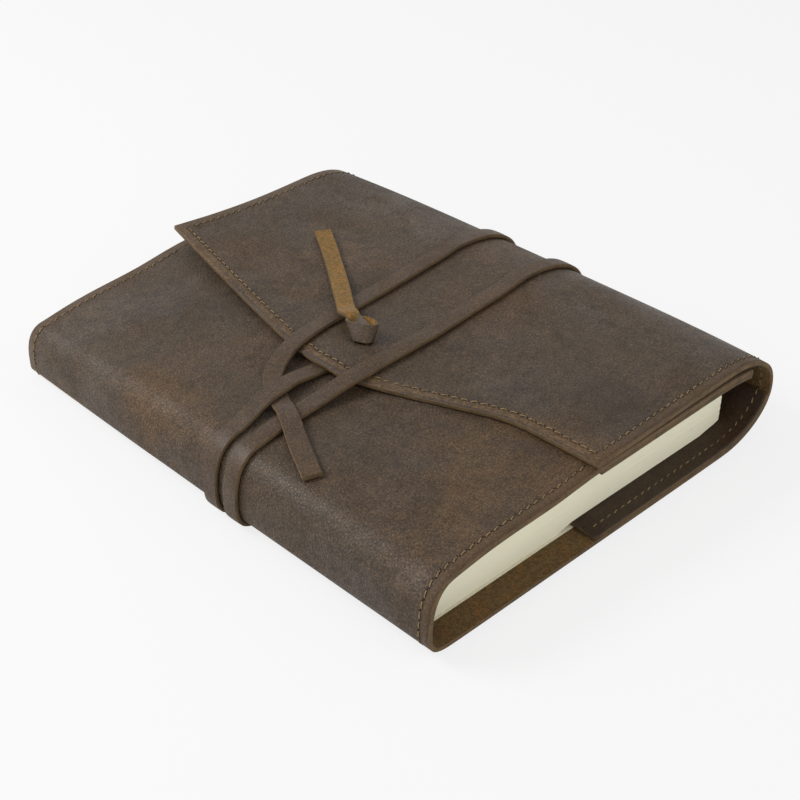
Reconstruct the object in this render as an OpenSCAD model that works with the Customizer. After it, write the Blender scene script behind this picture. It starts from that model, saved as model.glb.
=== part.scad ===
// Refillable journal in a wrapped leather cover, tied shut with its lace.
// X runs from the spine (-) to the fore-edge fold (+), Y from tail (-) to head (+), Z up.
// The origin is on the table, under the middle of the closed journal.

/* [Refill] */
// Width of the pages from back to fore-edge
page_width = 152; // [120:1:170]
// Length of the pages from head to tail
page_length = 203; // [170:1:240]
// Thickness of the stack of pages
block_t = 25; // [15:0.5:30]
// Thickness of the refill's card cover
card_t = 0.6; // [0.4:0.1:1]
// How far the card stands past the pages
card_overhang = 0.5; // [0:0.1:1]

/* [Leather] */
// Thickness of the cover leather
leather_t = 1.6; // [1.2:0.1:2.2]
// Thickness of the pocket leather
pocket_t = 1.4; // [1:0.1:1.8]
// How far the cover stands past the pages at head and tail
end_margin = 10.5; // [8:0.5:16]
// Room between the back of the pages and the outside of the spine
spine_room = 11; // [9:0.5:16]
// Room between the fore-edge of the pages and the outside of the fold at mid length
fold_room = 20; // [18:0.5:26]
// How far the front board passes the fore-edge of the pages
board_overhang = 1.5; // [1:0.1:2]
// Width of the inner pockets from the edge of the front board
pocket_width = 85; // [60:1:110]
// Length of the stretch where the back pocket climbs the fold, as a turn in degrees
pocket_climb = 78.75; // [56.25:11.25:90]

/* [Fold and flap] */
// How far the fold reaches past the line where the boards begin to bend
fold_depth = 28; // [24:0.5:32]
// Extra reach of the fold at mid length
fold_swell = 3.5; // [0:0.5:5]
// Gap between front board and flap at the root of the flap
flap_gap = 2; // [1.6:0.1:4]
// Reach of the flap from its root to its side corners
flap_reach = 73.5; // [60:0.5:90]
// How far the tip of the flap passes its corners
tip_reach = 24; // [15:0.5:32]
// Length of the blunt tip
tip_length = 15; // [12:0.5:24]
// Place of the tip along the cover
tip_y = -6.5; // [-20:0.5:20]
// Length of the straight edge at the tail corner of the flap
tail_side = 37.5; // [20:0.5:70]
// Height of the flap's head corner above where it would lie
corner_lift = 3.9; // [0:0.1:6]
// Depth of the hollow in the flap at its head edge
flap_sag = 1.6; // [0:0.1:2]
// How far the front board drops at the head of the spine
board_drop = 7.9; // [0:0.1:8]

/* [Lace] */
// Width of the lace
lace_w = 7; // [5:0.5:8]
// Thickness of the lace
lace_t = 1.6; // [1:0.1:2]

/* [Fits] */
// Slip between sheets that lie on each other
slip = 0.15; // [0.1:0.05:0.3]
// Space left between leathers that are sewn together
seam_gap = 0.1; // [0.05:0.01:0.15]
// Room on each side of the lace in its slot
slot_clear = 0.5; // [0.3:0.1:1]

/* [Hidden] */

cover_length = page_length + 2 * end_margin;
half_length = cover_length / 2;
closed_width = spine_room + page_width + fold_room;
spine_x = -closed_width / 2;
pages_back = spine_x + spine_room;
fore_edge = pages_back + page_width;
board_edge = fore_edge + board_overhang;
pocket_edge = board_edge - pocket_width;
fold_root = closed_width / 2 - fold_depth - fold_swell;
spine_depth = 13;
spine_root = spine_x + spine_depth;
spine_power = 0.85;
spine_steps = 12;
fold_steps = 16;
fold_turn = 180 / fold_steps;
climb_steps = round(pocket_climb / fold_turn);

// The journal stands on the lace, so its underside is one lace thickness up
base_z = lace_t + slip;
card_back_z = base_z + leather_t + slip;
board_z = card_back_z + card_t + slip;
pocket_step = pocket_t + slip;
card_gap = card_t + 2 * slip;

// Smooth step from 0 at a to 1 at b
function unit(v) = min(1, max(0, v));
function ease(x, a, b) = let (s = unit((x - a) / (b - a))) s * s * (3 - 2 * s);
function ramp(x, a, b) = (x - a) / (b - a);

// Drop of the front board towards the head of the spine
drop_start = -20;
drop_reach = 22;
function drop(x, y) =
  board_drop * pow(unit(ramp(y, drop_start, half_length)), 2)
  * max(0, (drop_reach - x) / (drop_reach - spine_root));

// The stack of pages thins at its back and its fore-edge
back_round = 2.2;
back_round_length = 28;
fore_dip = 1.2;
fore_dip_length = 13.5;
function rounding(x) =
  back_round * pow(max(0, pages_back + back_round_length - x) / back_round_length, 2)
  + fore_dip * pow(max(0, x - fore_edge + fore_dip_length) / fore_dip_length, 2);
function block_top(x, y) =
  board_z + block_t + pocket_step * ramp(x, pages_back, fore_edge) - rounding(x) - drop(x, y);

// Heights of the front board: its card, its underside and its upper face
front_ease = 26;
function card_front(x, y) =
  block_top(x, y) + slip + pocket_step * ease(x, pocket_edge - front_ease, pocket_edge);
function front_top(x, y) = card_front(x, y) + card_t + slip + leather_t;

// The fold is half an ellipse that swells at mid length
function fold_reach(y) = fold_depth + fold_swell * (1 - pow(y / half_length, 4));
flap_root_z = front_top(fold_root, 0) + flap_gap + leather_t;
fold_half = (flap_root_z - base_z) / 2;
fold_mid = base_z + fold_half;
function back_out(x, y) =
  x <= fold_root ? base_z : fold_mid - fold_half * sqrt(1 - pow((x - fold_root) / fold_reach(y), 2));

// Free edge of the flap: straight by its tail corner, then bent softly into its slant towards the tip
corner_x = fold_root - flap_reach;
tip_x = corner_x - tip_reach;
tip_low = tip_y - tip_length / 2;
tip_high = tip_y + tip_length / 2;
side_y = -half_length + tail_side;
side_x = corner_x - 0.7;
side_bend = 1.2;
head_edge = [[tip_low, tip_x], [tip_high, tip_x], [half_length, corner_x]];
function slant_x(y) = tip_x + (side_x - tip_x) * (tip_low - y) / (tip_low - side_y);
function edge_x(y) =
  y >= tip_low ? lookup(y, head_edge)
    : (side_x + slant_x(y)) / 2 - norm([(side_x - slant_x(y)) / 2, side_bend]);

// Upper face of the flap: it rests by its edge, rises over the lace and lifts at the head corner
edge_rest = 0.45;
lace_rise = 3.1;
rise_x = 19;
rise_y = 15;
rise_at = [tip_x + 10, tip_y + 1.5];
slot_x = tip_x + 20;
slot_y = tip_y + 2.5;
function edge_z(y) =
  front_top(edge_x(y), min(y, 0)) + leather_t + edge_rest + corner_lift * pow(max(0, y) / half_length, 2);
function flap_share(x, y) = (fold_root - x) / (fold_root - edge_x(y));
function flap_bump(x, y) =
  lace_rise * exp(-pow((x - rise_at.x) / rise_x, 2) - pow((y - rise_at.y) / rise_y, 2));
function flap_hollow(x, y) = flap_sag * pow(max(0, y) / half_length, 2) * sin(180 * unit(flap_share(x, y)));
function flap_top(x, y) =
  let (s = flap_share(x, y)) flap_root_z * (1 - s) + edge_z(y) * s + flap_bump(x, y) - flap_hollow(x, y);

// Section of the cover at one place along it, from the edge of the front board to the edge of the flap
seam_width = 4.5;
board_stops = concat(
  [board_edge, board_edge - seam_width],
  between(fold_root, pocket_edge + 6, 5),
  [pocket_edge + 6, pocket_edge],
  between(pocket_edge - 8, spine_root, 8),
  [spine_root]);
back_stops = [(spine_root + pocket_edge) / 2, pocket_edge, (pocket_edge + fold_root) / 2];
slot_half = lace_t / 2 + slot_clear;
slot_length = lace_w + 2 * slot_clear;
slot_shares = [for (side = [-slot_half, slot_half]) (fold_root - slot_x + side) / (fold_root - tip_x)];
first_shares = [0.13, 0.27, 0.41, 0.55, 0.69];
flap_shares = concat(first_shares, slot_shares, [0.93, 1]);
function signed_pow(v, p) = sign(v) * pow(abs(v), p);
// The spine bulges low down, and at its head it is squarer and pulled in
bulge_height = 0.35;
low_power = 0.6;
head_power = 0.35;
head_tuck = 3.8;
tuck_start = -20;
function tuck(y) = pow(unit(ramp(y, tuck_start, half_length)), 1.5);
function spine_arc(y, steps) =
  let (rise = front_top(spine_root, y) - base_z, low = bulge_height * rise,
    depth = spine_depth - head_tuck * tuck(y), power = low_power - (low_power - head_power) * tuck(y))
  [for (k = [1:steps])
    let (a = 90 + 180 * k / steps, p = a > 180 ? power : spine_power, half = a > 180 ? low : rise - low)
    [spine_root + depth * signed_pow(cos(a), p), base_z + low + half * signed_pow(sin(a), p)]];
// The fold is squarer above than below
fold_power = 0.88;
function fold_arc(y, steps) =
  [for (k = [0:steps])
    let (a = -90 + 180 * k / steps, p = a > 0 ? fold_power : 1)
    [fold_root + fold_reach(y) * signed_pow(cos(a), p), fold_mid + fold_half * signed_pow(sin(a), p)]];
function section(y) = concat(
  [for (x = board_stops) [x, front_top(x, y)]],
  spine_arc(y, spine_steps),
  [for (x = back_stops) [x, base_z]],
  fold_arc(y, fold_steps),
  [for (s = flap_shares) let (x = fold_root - s * (fold_root - edge_x(y))) [x, flap_top(x, y)]]);

// Outward normals along a section, and the section moved inwards by d
function normal(p, k) =
  let (a = p[max(0, k - 1)], b = p[min(len(p) - 1, k + 1)], t = (b - a) / norm(b - a)) [t.y, -t.x];
function inwards(p, d) = [for (k = [0:len(p) - 1]) p[k] - d * normal(p, k)];

// Closed sheet between two grids of points: rows run along the section, columns along Y
function flat(grid) = [for (row = grid) each row];
function quad(a, b, c, d) = [[a, b, c], [a, c, d]];
function sheet_faces(m, n, hole = []) =
  let (w = n + 1, s = (m + 1) * w)
  concat(
    [for (i = [0:m - 1], j = [0:n - 1]) if ([i, j] != hole) let (o = i * w + j)
      each concat(quad(o, o + w, o + w + 1, o + 1), quad(s + o, s + o + 1, s + o + w + 1, s + o + w))],
    [for (i = [0:m - 1]) let (o = i * w, p = i * w + n)
      each concat(quad(o + w, o, s + o, s + o + w), quad(p, p + w, s + p + w, s + p))],
    [for (j = [0:n - 1]) let (o = j, p = m * w + j)
      each concat(quad(o, o + 1, s + o + 1, s + o), quad(p + 1, p, s + p, s + p + 1))],
    len(hole) == 0 ? [] : let (o = hole[0] * w + hole[1])
      concat(quad(o + 1, o, s + o, s + o + 1), quad(o + w, o + w + 1, s + o + w + 1, s + o + w),
        quad(o, o + w, s + o + w, s + o), quad(o + w + 1, o + 1, s + o + 1, s + o + w + 1)));
module sheet(outer, inner, hole = []) {
  m = len(outer) - 1;
  n = len(outer[0]) - 1;
  polyhedron(points = concat(flat(outer), flat(inner)), faces = sheet_faces(m, n, hole), convexity = 8);
}
// Grid from one section for each place along Y
function grid(sections, ys) =
  [for (i = [0:len(sections[0]) - 1])
    [for (j = [0:len(ys) - 1]) [sections[j][i].x, ys[j], sections[j][i].y]]];

// Places along the cover where its grid has a column
function between(a, b, steps) = [for (k = [0:steps - 1]) a + (b - a) * k / steps];
slot_low = slot_y - slot_length / 2;
slot_high = slot_y + slot_length / 2;
bend_low = side_y - 10;
bend_high = side_y + 14;
cover_ys = concat(
  between(-half_length, bend_low, 3),
  between(bend_low, bend_high, 4),
  between(bend_high, tip_low, 3),
  [tip_low, slot_low, slot_high],
  between(tip_high, half_length, 8),
  [half_length]);
slot_row = len(board_stops) + spine_steps + len(back_stops) + fold_steps + 1 + len(first_shares);
slot_column = 11;

module wrap_cover() {
  sections = [for (y = cover_ys) section(y)];
  color([0.34, 0.29, 0.26])
    sheet(grid(sections, cover_ys), grid([for (p = sections) inwards(p, leather_t)], cover_ys),
      [slot_row, slot_column]);
}

// The pockets open towards the spine and are sewn down on their other three sides
seam_fade = 3;
pocket_ys = concat([-half_length, -half_length + seam_width, -half_length + seam_width + seam_fade],
  between(-half_length + 20, half_length - 20, 6),
  [half_length - 20, half_length - seam_width - seam_fade, half_length - seam_width, half_length]);
function sewn(y) = ease(abs(y), half_length - seam_width - seam_fade, half_length - seam_width);
function pocket_gap(y, end) = card_gap + (seam_gap - card_gap) * max(sewn(y), end);

front_last = 8;
module front_pocket() {
  tops = [for (y = pocket_ys) let (p = section(y), n = inwards(p, leather_t))
    [for (k = [0:front_last]) n[k] - pocket_gap(y, k == 0 ? 1 : 0) * normal(p, k)]];
  bottoms = [for (y = pocket_ys) let (p = section(y), n = inwards(p, leather_t + pocket_t))
    [for (k = [0:front_last]) n[k] - pocket_gap(y, k == 0 ? 1 : 0) * normal(p, k)]];
  color([0.25, 0.21, 0.18])
    sheet(grid(tops, pocket_ys), grid(bottoms, pocket_ys));
}

back_first = len(board_stops) + spine_steps + 1;
back_last = back_first + 2 + climb_steps;
module back_pocket() {
  tops = [for (y = pocket_ys) let (p = section(y), n = inwards(p, leather_t))
    [for (k = [back_first:back_last]) n[k] - pocket_gap(y, k >= back_last - 1 ? 1 : 0) * normal(p, k)]];
  bottoms = [for (y = pocket_ys) let (p = section(y), n = inwards(p, leather_t + pocket_t))
    [for (k = [back_first:back_last]) n[k] - pocket_gap(y, k >= back_last - 1 ? 1 : 0) * normal(p, k)]];
  color([0.25, 0.21, 0.18])
    sheet(grid(tops, pocket_ys), grid(bottoms, pocket_ys));
}

// One folded card: a leaf in each pocket and a back that passes round the pages
bend_r = 1.2;
card_bevel = 0.25;
card_shoulder = 0.4;
card_fore = board_edge - seam_width - slip;
card_back_x = pages_back - slip - card_t;
card_stops = concat([card_fore], [for (k = [2:len(board_stops) - 1]) board_stops[k]]);
fold_first_point = len(board_stops) + spine_steps + len(back_stops);
function card_under(y) =
  let (p = section(y), n = inwards(p, leather_t + slip), k = fold_first_point + 1,
    s = (card_fore - n[k].x) / (n[k + 1].x - n[k].x))
  concat([for (k = [fold_first_point - len(back_stops) - 1:fold_first_point + 1]) n[k]],
    [n[k] + s * (n[k + 1] - n[k])]);
function card_section(y) = concat(
  [for (x = card_stops) [x, card_front(x, y) + card_t]],
  [[card_back_x + card_shoulder, card_front(spine_root, y) + card_t - card_shoulder],
   [card_back_x, card_front(spine_root, y) - bend_r],
   [card_back_x, card_back_z + bend_r + card_t], [card_back_x + card_bevel, card_back_z + card_bevel]],
  card_under(y));
module refill_card() {
  ys = [for (k = [0:8]) (k / 4 - 1) * (page_length / 2 + card_overhang)];
  sections = [for (y = ys) card_section(y)];
  color([0.80, 0.74, 0.60])
    sheet(grid(sections, ys), grid([for (p = sections) inwards(p, card_t)], ys));
}

// The pages are one solid that steps up where it lies on the back pocket
block_ease = 6;
block_stops = concat([fore_edge], [for (k = [1:len(board_stops) - 1]) board_stops[k]], [pages_back]);
bend_factor = 1.08;
function block_bottom(x, y) =
  back_out(x, y) + (board_z - base_z + pocket_step * ease(x, pocket_edge - block_ease, pocket_edge))
  * (x > fold_root ? bend_factor : 1);
module text_block() {
  ys = [for (k = [0:8]) (k / 4 - 1) * page_length / 2];
  color([0.85, 0.83, 0.72])
    sheet([for (x = block_stops) [for (y = ys) [x, y, block_top(x, y)]]],
      [for (x = block_stops) [for (y = ys) [x, y, block_bottom(x, y)]]]);
}

// The lace is one flat strap wound twice round the journal. Its route is a list of stations,
// each with its centre, a vector to its side edge and the strap's thickness there
lay_gap = 0.4;
one_layer = lace_t + slip;
across = [0, lace_w / 2, 0];
function side_step(p, k) =
  let (a = p[max(0, k - 1)], b = p[min(len(p) - 1, k + 1)], t = [b.x - a.x, b.y - a.y])
  [t.y, -t.x] / norm(t);
function lay(points, top_of) =
  [for (k = [0:len(points) - 1])
    let (p = points[k], w = side_step(points, k) * lace_w / 2,
      high = top_of(p.x + w.x, p.y + w.y), low = top_of(p.x - w.x, p.y - w.y),
      z = max(top_of(p.x, p.y), (high + low) / 2) + lay_gap + lace_t / 2 + p.z * one_layer)
    [[p.x, p.y, z], [w.x, w.y, (high - low) / 2], lace_t]];
function pass(y0, y1, first, last) =
  let (s = section((y0 + y1) / 2), d = slip + lace_t / 2)
  [for (k = [first:last])
    let (p = s[k] + d * normal(s, k))
    [[p.x, y0 + (y1 - y0) * (k - first) / (last - first), p.y], across, lace_t]];
flap_face = function(x, y) flap_top(x, y);
board_face = function(x, y) front_top(x, y);

// Places where the two turns pass the spine and the fold, each from its upper to its lower end
spine_first = [tip_y - 1, tip_y - 2];
spine_second = [tip_y - 12, tip_y - 12.6];
fold_first = [tip_y - 7.5, tip_y - 8.5];
fold_second = [tip_y + 28, tip_y + 27.2];
spine_a = len(board_stops) - 1;
spine_b = spine_a + spine_steps;
fold_a = spine_b + len(back_stops) + 1;
fold_b = fold_a + fold_steps;

// Under the book the turns cross, and each is pressed to half its thickness there
pressed_t = (lace_t - slip) / 2;
cross_share = (spine_first[1] - spine_second[1]) /
  (spine_first[1] - spine_second[1] + fold_second[1] - fold_first[1]);
cross_x = spine_root + (fold_root - spine_root) * cross_share;
press_half = 23;
press_fade = 7;
function run_under(y0, y1, upper) =
  [for (x = [cross_x - press_half - press_fade, cross_x - press_half, cross_x, cross_x + press_half,
      cross_x + press_half + press_fade, fold_root - 25])
    let (t = abs(x - cross_x) < press_half + 1 ? pressed_t : lace_t,
      s = (x - spine_root) / (fold_root - spine_root))
    [[x, y0 + (y1 - y0) * s, upper ? lace_t - t / 2 : t / 2], across, t]];

// Points by hand on the flap and the front board: place across, place along, layers of lace below
tail_points = [[28.2, 67.8, 0], [22, 57.6, 0], [14.6, 46.3, 0.05], [6.4, 34.4, 0.5], [2.2, 28.6, 0.9],
  [-1.8, 23.1, 1.25], [-5.2, 18.5, 1.55], [-8.5, 14, 1.8], [-11.8, 9.7, 2.1], [-14.8, 5.5, 2.25],
  [-16.6, 2.6, 2], [-17.6, 0.6, 1.2]];
first_points = [[slot_x - 2.4, slot_y, 0], [slot_x - 7.5, slot_y - 0.5, 0], [slot_x - 12, slot_y - 0.1, 0],
  [-34.5, -3.1, 0], [-40.5, -2.5, 0.1], [-46.5, -2.5, 0.5], [-51.5, -2.9, 0.98], [-56.5, -3.8, 1.1],
  [-62.5, -4.9, 1.1], [-68, -5.9, 0.95], [-73, -6.7, 0.45], [-76, -7.1, 0.15]];
second_flap = [[45, -15.4, 0], [30, -16.3, 0], [15, -17.2, 0], [2, -18, 0], [-8, -18.5, 0.1],
  [-16, -18.8, 0.05], [-24, -19, 0], [-31, -19.1, 0], [tip_x - 0.5, -19, 0]];
second_board = [[tip_x - 7, -18.7, 1.25], [-51, -18.3, 0.55], [-58, -18.1, 0.15], [-64, -18, 0],
  [-70, -18.1, 0], [-75, -18.3, 0]];
third_flap = [[45, 20.3, 0], [30, 19.3, 0], [15, 18.4, 0], [3, 17.7, 0], [-7, 17, 0], [-15, 16.4, 0],
  [-22, 15.7, 0], [-29, 14.5, 0], [-36.8, 12.6, 0]];
third_board = [[-42.6, 10.8, 1.2], [-47, 8.8, 0.6], [-51.2, 5.8, 0.2], [-54.6, 2, 0], [-57.4, -2.4, 0],
  [-59.8, -7, 0], [-61.5, -10.4, 0.2], [-63, -13.6, 0.85], [-64.4, -16.6, 1.1], [-66, -20, 1.1],
  [-67.5, -23, 0.85], [-69.2, -26.2, 0.4], [-71.5, -30.6, 0.1], [-75.5, -38.6, 0], [-79.7, -47, 0]];

// Drop through the slot in the flap, from inside the knot's collar, and away below the flap
slot_bend = 1;
knot_base = flap_top(slot_x, slot_y);
drop_low = lay(first_points, board_face)[0][0].z;
drop = concat(
  [for (p = [[0.9, 3.2], [0.4, 2], [0, 0.8], [0, -0.4]]) [[slot_x + p.x, slot_y, knot_base + p.y],
    across, lace_t]],
  [for (a = [0:30:90]) [[slot_x - slot_bend * (1 - cos(a)), slot_y, drop_low + slot_bend * (1 - sin(a))],
    across, lace_t]]);

turns = concat(
  drop,
  lay(first_points, board_face),
  pass(spine_first[0], spine_first[1], spine_a, spine_b),
  run_under(spine_first[1], fold_first[1], false),
  pass(fold_first[1], fold_first[0], fold_a, fold_b),
  lay(second_flap, flap_face),
  lay(second_board, board_face),
  pass(spine_second[0], spine_second[1], spine_a, spine_b),
  run_under(spine_second[1], fold_second[1], true),
  pass(fold_second[1], fold_second[0], fold_a, fold_b),
  lay(third_flap, flap_face),
  lay(third_board, board_face));

// A strap through its stations, closed into a loop if asked
function strap_ring(path, k, loop) =
  let (n = len(path), a = path[loop ? (k + n - 1) % n : max(0, k - 1)][0],
    b = path[loop ? (k + 1) % n : min(n - 1, k + 1)][0], c = path[k][0], side = path[k][1],
    square_up = cross(side, b - a), up = square_up / norm(square_up) * path[k][2] / 2)
  [c + side + up, c - side + up, c - side - up, c + side - up];
module strap(path, loop = false) {
  n = len(path);
  last = loop ? n - 1 : n - 2;
  ends = loop ? [] : [[3, 2, 1, 0], [4 * n - 4, 4 * n - 3, 4 * n - 2, 4 * n - 1]];
  polyhedron(points = [for (k = [0:n - 1]) each strap_ring(path, k, loop)],
    faces = concat(ends,
      [for (k = [0:last], m = [0:3]) let (next = (m + 1) % 4, on = (k + 1) % n)
        each quad(4 * k + m, 4 * k + next, 4 * on + next, 4 * on + m)]), convexity = 12);
}

// The knot: a collar round the tail that widens upwards, and a fold that lies across its mouth
knot_at = [slot_x, slot_y, knot_base];
collar_low = [-0.3, -1.2, 0.7];
collar_high = [3.4, 3, 6.1];
collar_long = [0.39, -0.92, 0];
collar_deep = [0.92, 0.39, 0];
collar_half_low = [3.2, 1.7];
collar_half_high = [6.1, 2.6];
collar_outline = [[-1, 0], [-0.8, -0.78], [-0.15, -1], [0.45, -0.98], [0.85, -0.6], [1, 0],
  [0.7, 0.8], [0, 1], [-0.7, 0.8]];
function collar_foot(p) = knot_at + collar_low + collar_long * p.x * collar_half_low.x
  + collar_deep * p.y * collar_half_low.y;
function collar_rim(p) = knot_at + collar_high + collar_long * p.x * collar_half_high.x
  + collar_deep * p.y * collar_half_high.y;
collar = [for (p = collar_outline) let (low = collar_foot(p), high = collar_rim(p))
  [(low + high) / 2, (low - high) / 2, lace_t]];
// The strap is packed tight inside the collar
core_share = 0.97;
core_point = 0.1;
core_drop = 1.4;
module knot_core() {
  hull()
    for (p = collar_outline) {
      translate(collar_foot(core_share * p) + [0, 0, core_point]) cube(core_point, center = true);
      translate(collar_rim(core_share * p) - [0, 0, core_drop]) cube(core_point, center = true);
    }
}
fold_stations = [[[3.6, 6.9, 4.85], [-2.72, -1.22, -1.15]], [[2.3, 3.2, 4.6], [-2.54, -0.79, -1.59]],
  [[2.1, 0.1, 4], [-1.53, 0.14, -2.22]], [[2.6, -3, 3.65], [-0.44, 0, -2.16]]];
fold_over = [for (p = fold_stations) [p[0] + knot_at, p[1], lace_t]];
module wrap_lace() {
  color([0.36, 0.30, 0.26])
    union() {
      strap(lay(tail_points, flap_face));
      strap(turns);
      strap(collar, true);
      strap(fold_over);
      knot_core();
    }
}

wrap_cover();
front_pocket();
back_pocket();
refill_card();
text_block();
wrap_lace();
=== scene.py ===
"""Looks of a tied leather journal: its cover, pockets, refill, lace and thread, round the fixed frame."""

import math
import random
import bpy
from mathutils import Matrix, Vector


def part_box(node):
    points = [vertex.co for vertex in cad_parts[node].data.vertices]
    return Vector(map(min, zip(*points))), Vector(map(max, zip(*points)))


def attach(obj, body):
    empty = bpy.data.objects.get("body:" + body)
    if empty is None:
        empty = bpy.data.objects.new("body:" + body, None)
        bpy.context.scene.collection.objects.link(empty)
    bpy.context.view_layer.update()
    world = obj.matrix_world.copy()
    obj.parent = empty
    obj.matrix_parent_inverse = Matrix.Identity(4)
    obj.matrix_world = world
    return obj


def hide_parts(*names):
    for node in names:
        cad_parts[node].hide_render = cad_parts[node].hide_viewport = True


bl_info = {
    "name": "Tied Leather Journal",
    "version": (1, 0, 0),
    "blender": (4, 5, 0),
    "location": "View3D > Sidebar > Journal",
    "description": "Dresses a refillable journal in grained leather, thread, paper and a wound lace",
    "category": "Object",
}

import bmesh
import bpy
from bpy.props import FloatProperty, FloatVectorProperty, IntProperty, PointerProperty
from mathutils import Matrix, Vector, noise
from mathutils.bvhtree import BVHTree

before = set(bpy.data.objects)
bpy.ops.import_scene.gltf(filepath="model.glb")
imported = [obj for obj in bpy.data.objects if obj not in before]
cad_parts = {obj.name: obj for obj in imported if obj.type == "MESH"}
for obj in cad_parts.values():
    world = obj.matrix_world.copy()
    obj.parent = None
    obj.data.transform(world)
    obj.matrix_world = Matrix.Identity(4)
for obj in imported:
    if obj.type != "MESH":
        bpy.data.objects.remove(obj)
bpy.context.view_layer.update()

MM = 0.001
UP = Vector((0, 0, 1))
DOWN = Vector((0, 0, -1))

# Places taken from the frame: ends of the cover, and the lines where it begins to bend
COVER_LOW, COVER_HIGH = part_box("wrap_cover")
PAGES_LOW, PAGES_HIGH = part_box("text_block")
BACK_POCKET_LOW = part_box("back_pocket")[0]
SPINE_BEND, FOLD_BEND, HALF_RISE = 13 * MM, 31.5 * MM, 17 * MM
SPINE_ROOT = COVER_LOW.x + SPINE_BEND
FOLD_ROOT = COVER_HIGH.x - FOLD_BEND
MIDDLE_Z = COVER_LOW.z + HALF_RISE

# The painted sheen highlight along the spine's upper shoulder, a lighter streak in the leather's colour:
# inwards from the spine, height and reach
SHEEN_LINE_IN, SHEEN_LINE_RISE, SHEEN_LINE_REACH = 3.6 * MM, 29 * MM, 5 * MM


class JournalSizes(bpy.types.PropertyGroup):
    """Sizes that a user would change"""

    leather: FloatProperty(name="Leather thickness", description="Thickness of the cover leather",
                           default=1.6 * MM, min=1 * MM, max=3 * MM, unit="LENGTH")
    lace_width: FloatProperty(name="Lace width", description="Width of the flat lace",
                              default=7 * MM, min=4 * MM, max=9 * MM, unit="LENGTH")
    lace_thickness: FloatProperty(name="Lace thickness", description="Thickness of the flat lace",
                                  default=1.6 * MM, min=1 * MM, max=2 * MM, unit="LENGTH")
    stitch_pitch: FloatProperty(name="Stitch pitch", description="Distance from one stitch to the next",
                                default=3.7 * MM, min=2 * MM, max=6 * MM, unit="LENGTH")
    seam_inset: FloatProperty(name="Seam inset", description="Distance from a seam to the cut edge",
                              default=4.4 * MM, min=3 * MM, max=8 * MM, unit="LENGTH")
    thread: FloatProperty(name="Thread thickness", description="Thickness of the seam thread",
                          default=0.46 * MM, min=0.3 * MM, max=1 * MM, unit="LENGTH")
    leaves: IntProperty(name="Page layers", description="Layers that show on the edges of the pages",
                        default=40, min=10, max=80)


class JournalColours(bpy.types.PropertyGroup):
    """Colours that a user would change"""

    grain: FloatVectorProperty(name="Leather", description="Main colour of the grain side",
                               default=(0.0570, 0.0375, 0.0220), subtype="COLOR", min=0, max=1)
    warm: FloatVectorProperty(name="Warm patches", description="Colour of the rubbed warm patches",
                              default=(0.105, 0.056, 0.022), subtype="COLOR", min=0, max=1)
    # Lighter copies of this colour also paint the pale patches and the sheen highlights on the spine's
    # shoulder
    smoky: FloatVectorProperty(name="Smoky patches", description="Colour of the waxy grey patches",
                               default=(0.066, 0.050, 0.039), subtype="COLOR", min=0, max=1)
    tan: FloatVectorProperty(name="Cut edge", description="Colour of the raw cut edge",
                             default=(0.200, 0.125, 0.056), subtype="COLOR", min=0, max=1)
    suede: FloatVectorProperty(name="Flesh side", description="Colour of the rough inner side",
                               default=(0.150, 0.090, 0.032), subtype="COLOR", min=0, max=1)
    ochre: FloatVectorProperty(name="Lace flesh side", description="Colour of the rough side of the lace",
                               default=(0.235, 0.135, 0.038), subtype="COLOR", min=0, max=1)
    thread: FloatVectorProperty(name="Thread", description="Colour of the seam thread",
                                default=(0.215, 0.140, 0.055), subtype="COLOR", min=0, max=1)
    paper: FloatVectorProperty(name="Paper", description="Colour of the pages",
                               default=(0.900, 0.862, 0.660), subtype="COLOR", min=0, max=1)
    floor: FloatVectorProperty(name="Floor", description="Colour of the floor",
                               default=(0.930, 0.930, 0.930), subtype="COLOR", min=0, max=1)


def only(piece):
    """Leaves one object selected and active."""
    bpy.ops.object.select_all(action="DESELECT")
    piece.select_set(True)
    bpy.context.view_layer.objects.active = piece


def own_copy(node, name):
    """A merged copy of a node's mesh, in quads where its triangles pair up."""
    piece = bpy.data.objects.new(name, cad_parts[node].data.copy())
    bpy.context.scene.collection.objects.link(piece)
    piece.data.materials.clear()
    only(piece)
    bpy.ops.object.mode_set(mode="EDIT")
    bpy.ops.mesh.select_all(action="SELECT")
    bpy.ops.mesh.remove_doubles(threshold=0.00001)
    bpy.ops.mesh.tris_convert_to_quads(face_threshold=math.radians(40), shape_threshold=math.radians(50))
    bpy.ops.object.mode_set(mode="OBJECT")
    return piece


def finish_piece(piece, node, smooth_angle=35):
    """Shades a piece, ties it to the frame and hides the node that it stands for."""
    only(piece)
    bpy.ops.object.shade_smooth_by_angle(angle=math.radians(smooth_angle))
    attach(piece, "root")
    if node:
        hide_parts(node)


def subdivide_piece(piece, levels):
    """Rounds a piece with an applied subdivision surface."""
    only(piece)
    modifier = piece.modifiers.new("Rounding", "SUBSURF")
    modifier.levels = levels
    modifier.render_levels = levels
    modifier.use_limit_surface = False
    bpy.ops.object.modifier_apply(modifier=modifier.name)


def tree_of(*nodes):
    """One search tree over the faces of some nodes."""
    places, faces = [], []
    for name in nodes:
        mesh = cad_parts[name].data
        first = len(places)
        places += [v.co.copy() for v in mesh.vertices]
        faces += [[first + i for i in p.vertices] for p in mesh.polygons]
    return BVHTree.FromPolygons(places, faces)


def crossings(tree, start, way):
    """Every place where a ray goes through the skin, in order, with its normal."""
    found = []
    origin = Vector(start)
    while len(found) < 12:
        place, normal, _, _ = tree.ray_cast(origin, way)
        if place is None:
            break
        found.append((place, normal))
        origin = place + way * 0.00002
    return found


COVER_TREE = tree_of("wrap_cover")
LINED_TREE = tree_of("wrap_cover", "front_pocket", "back_pocket")


def from_above(x, y):
    return crossings(COVER_TREE, (x, y, 0.1), DOWN)


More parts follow.
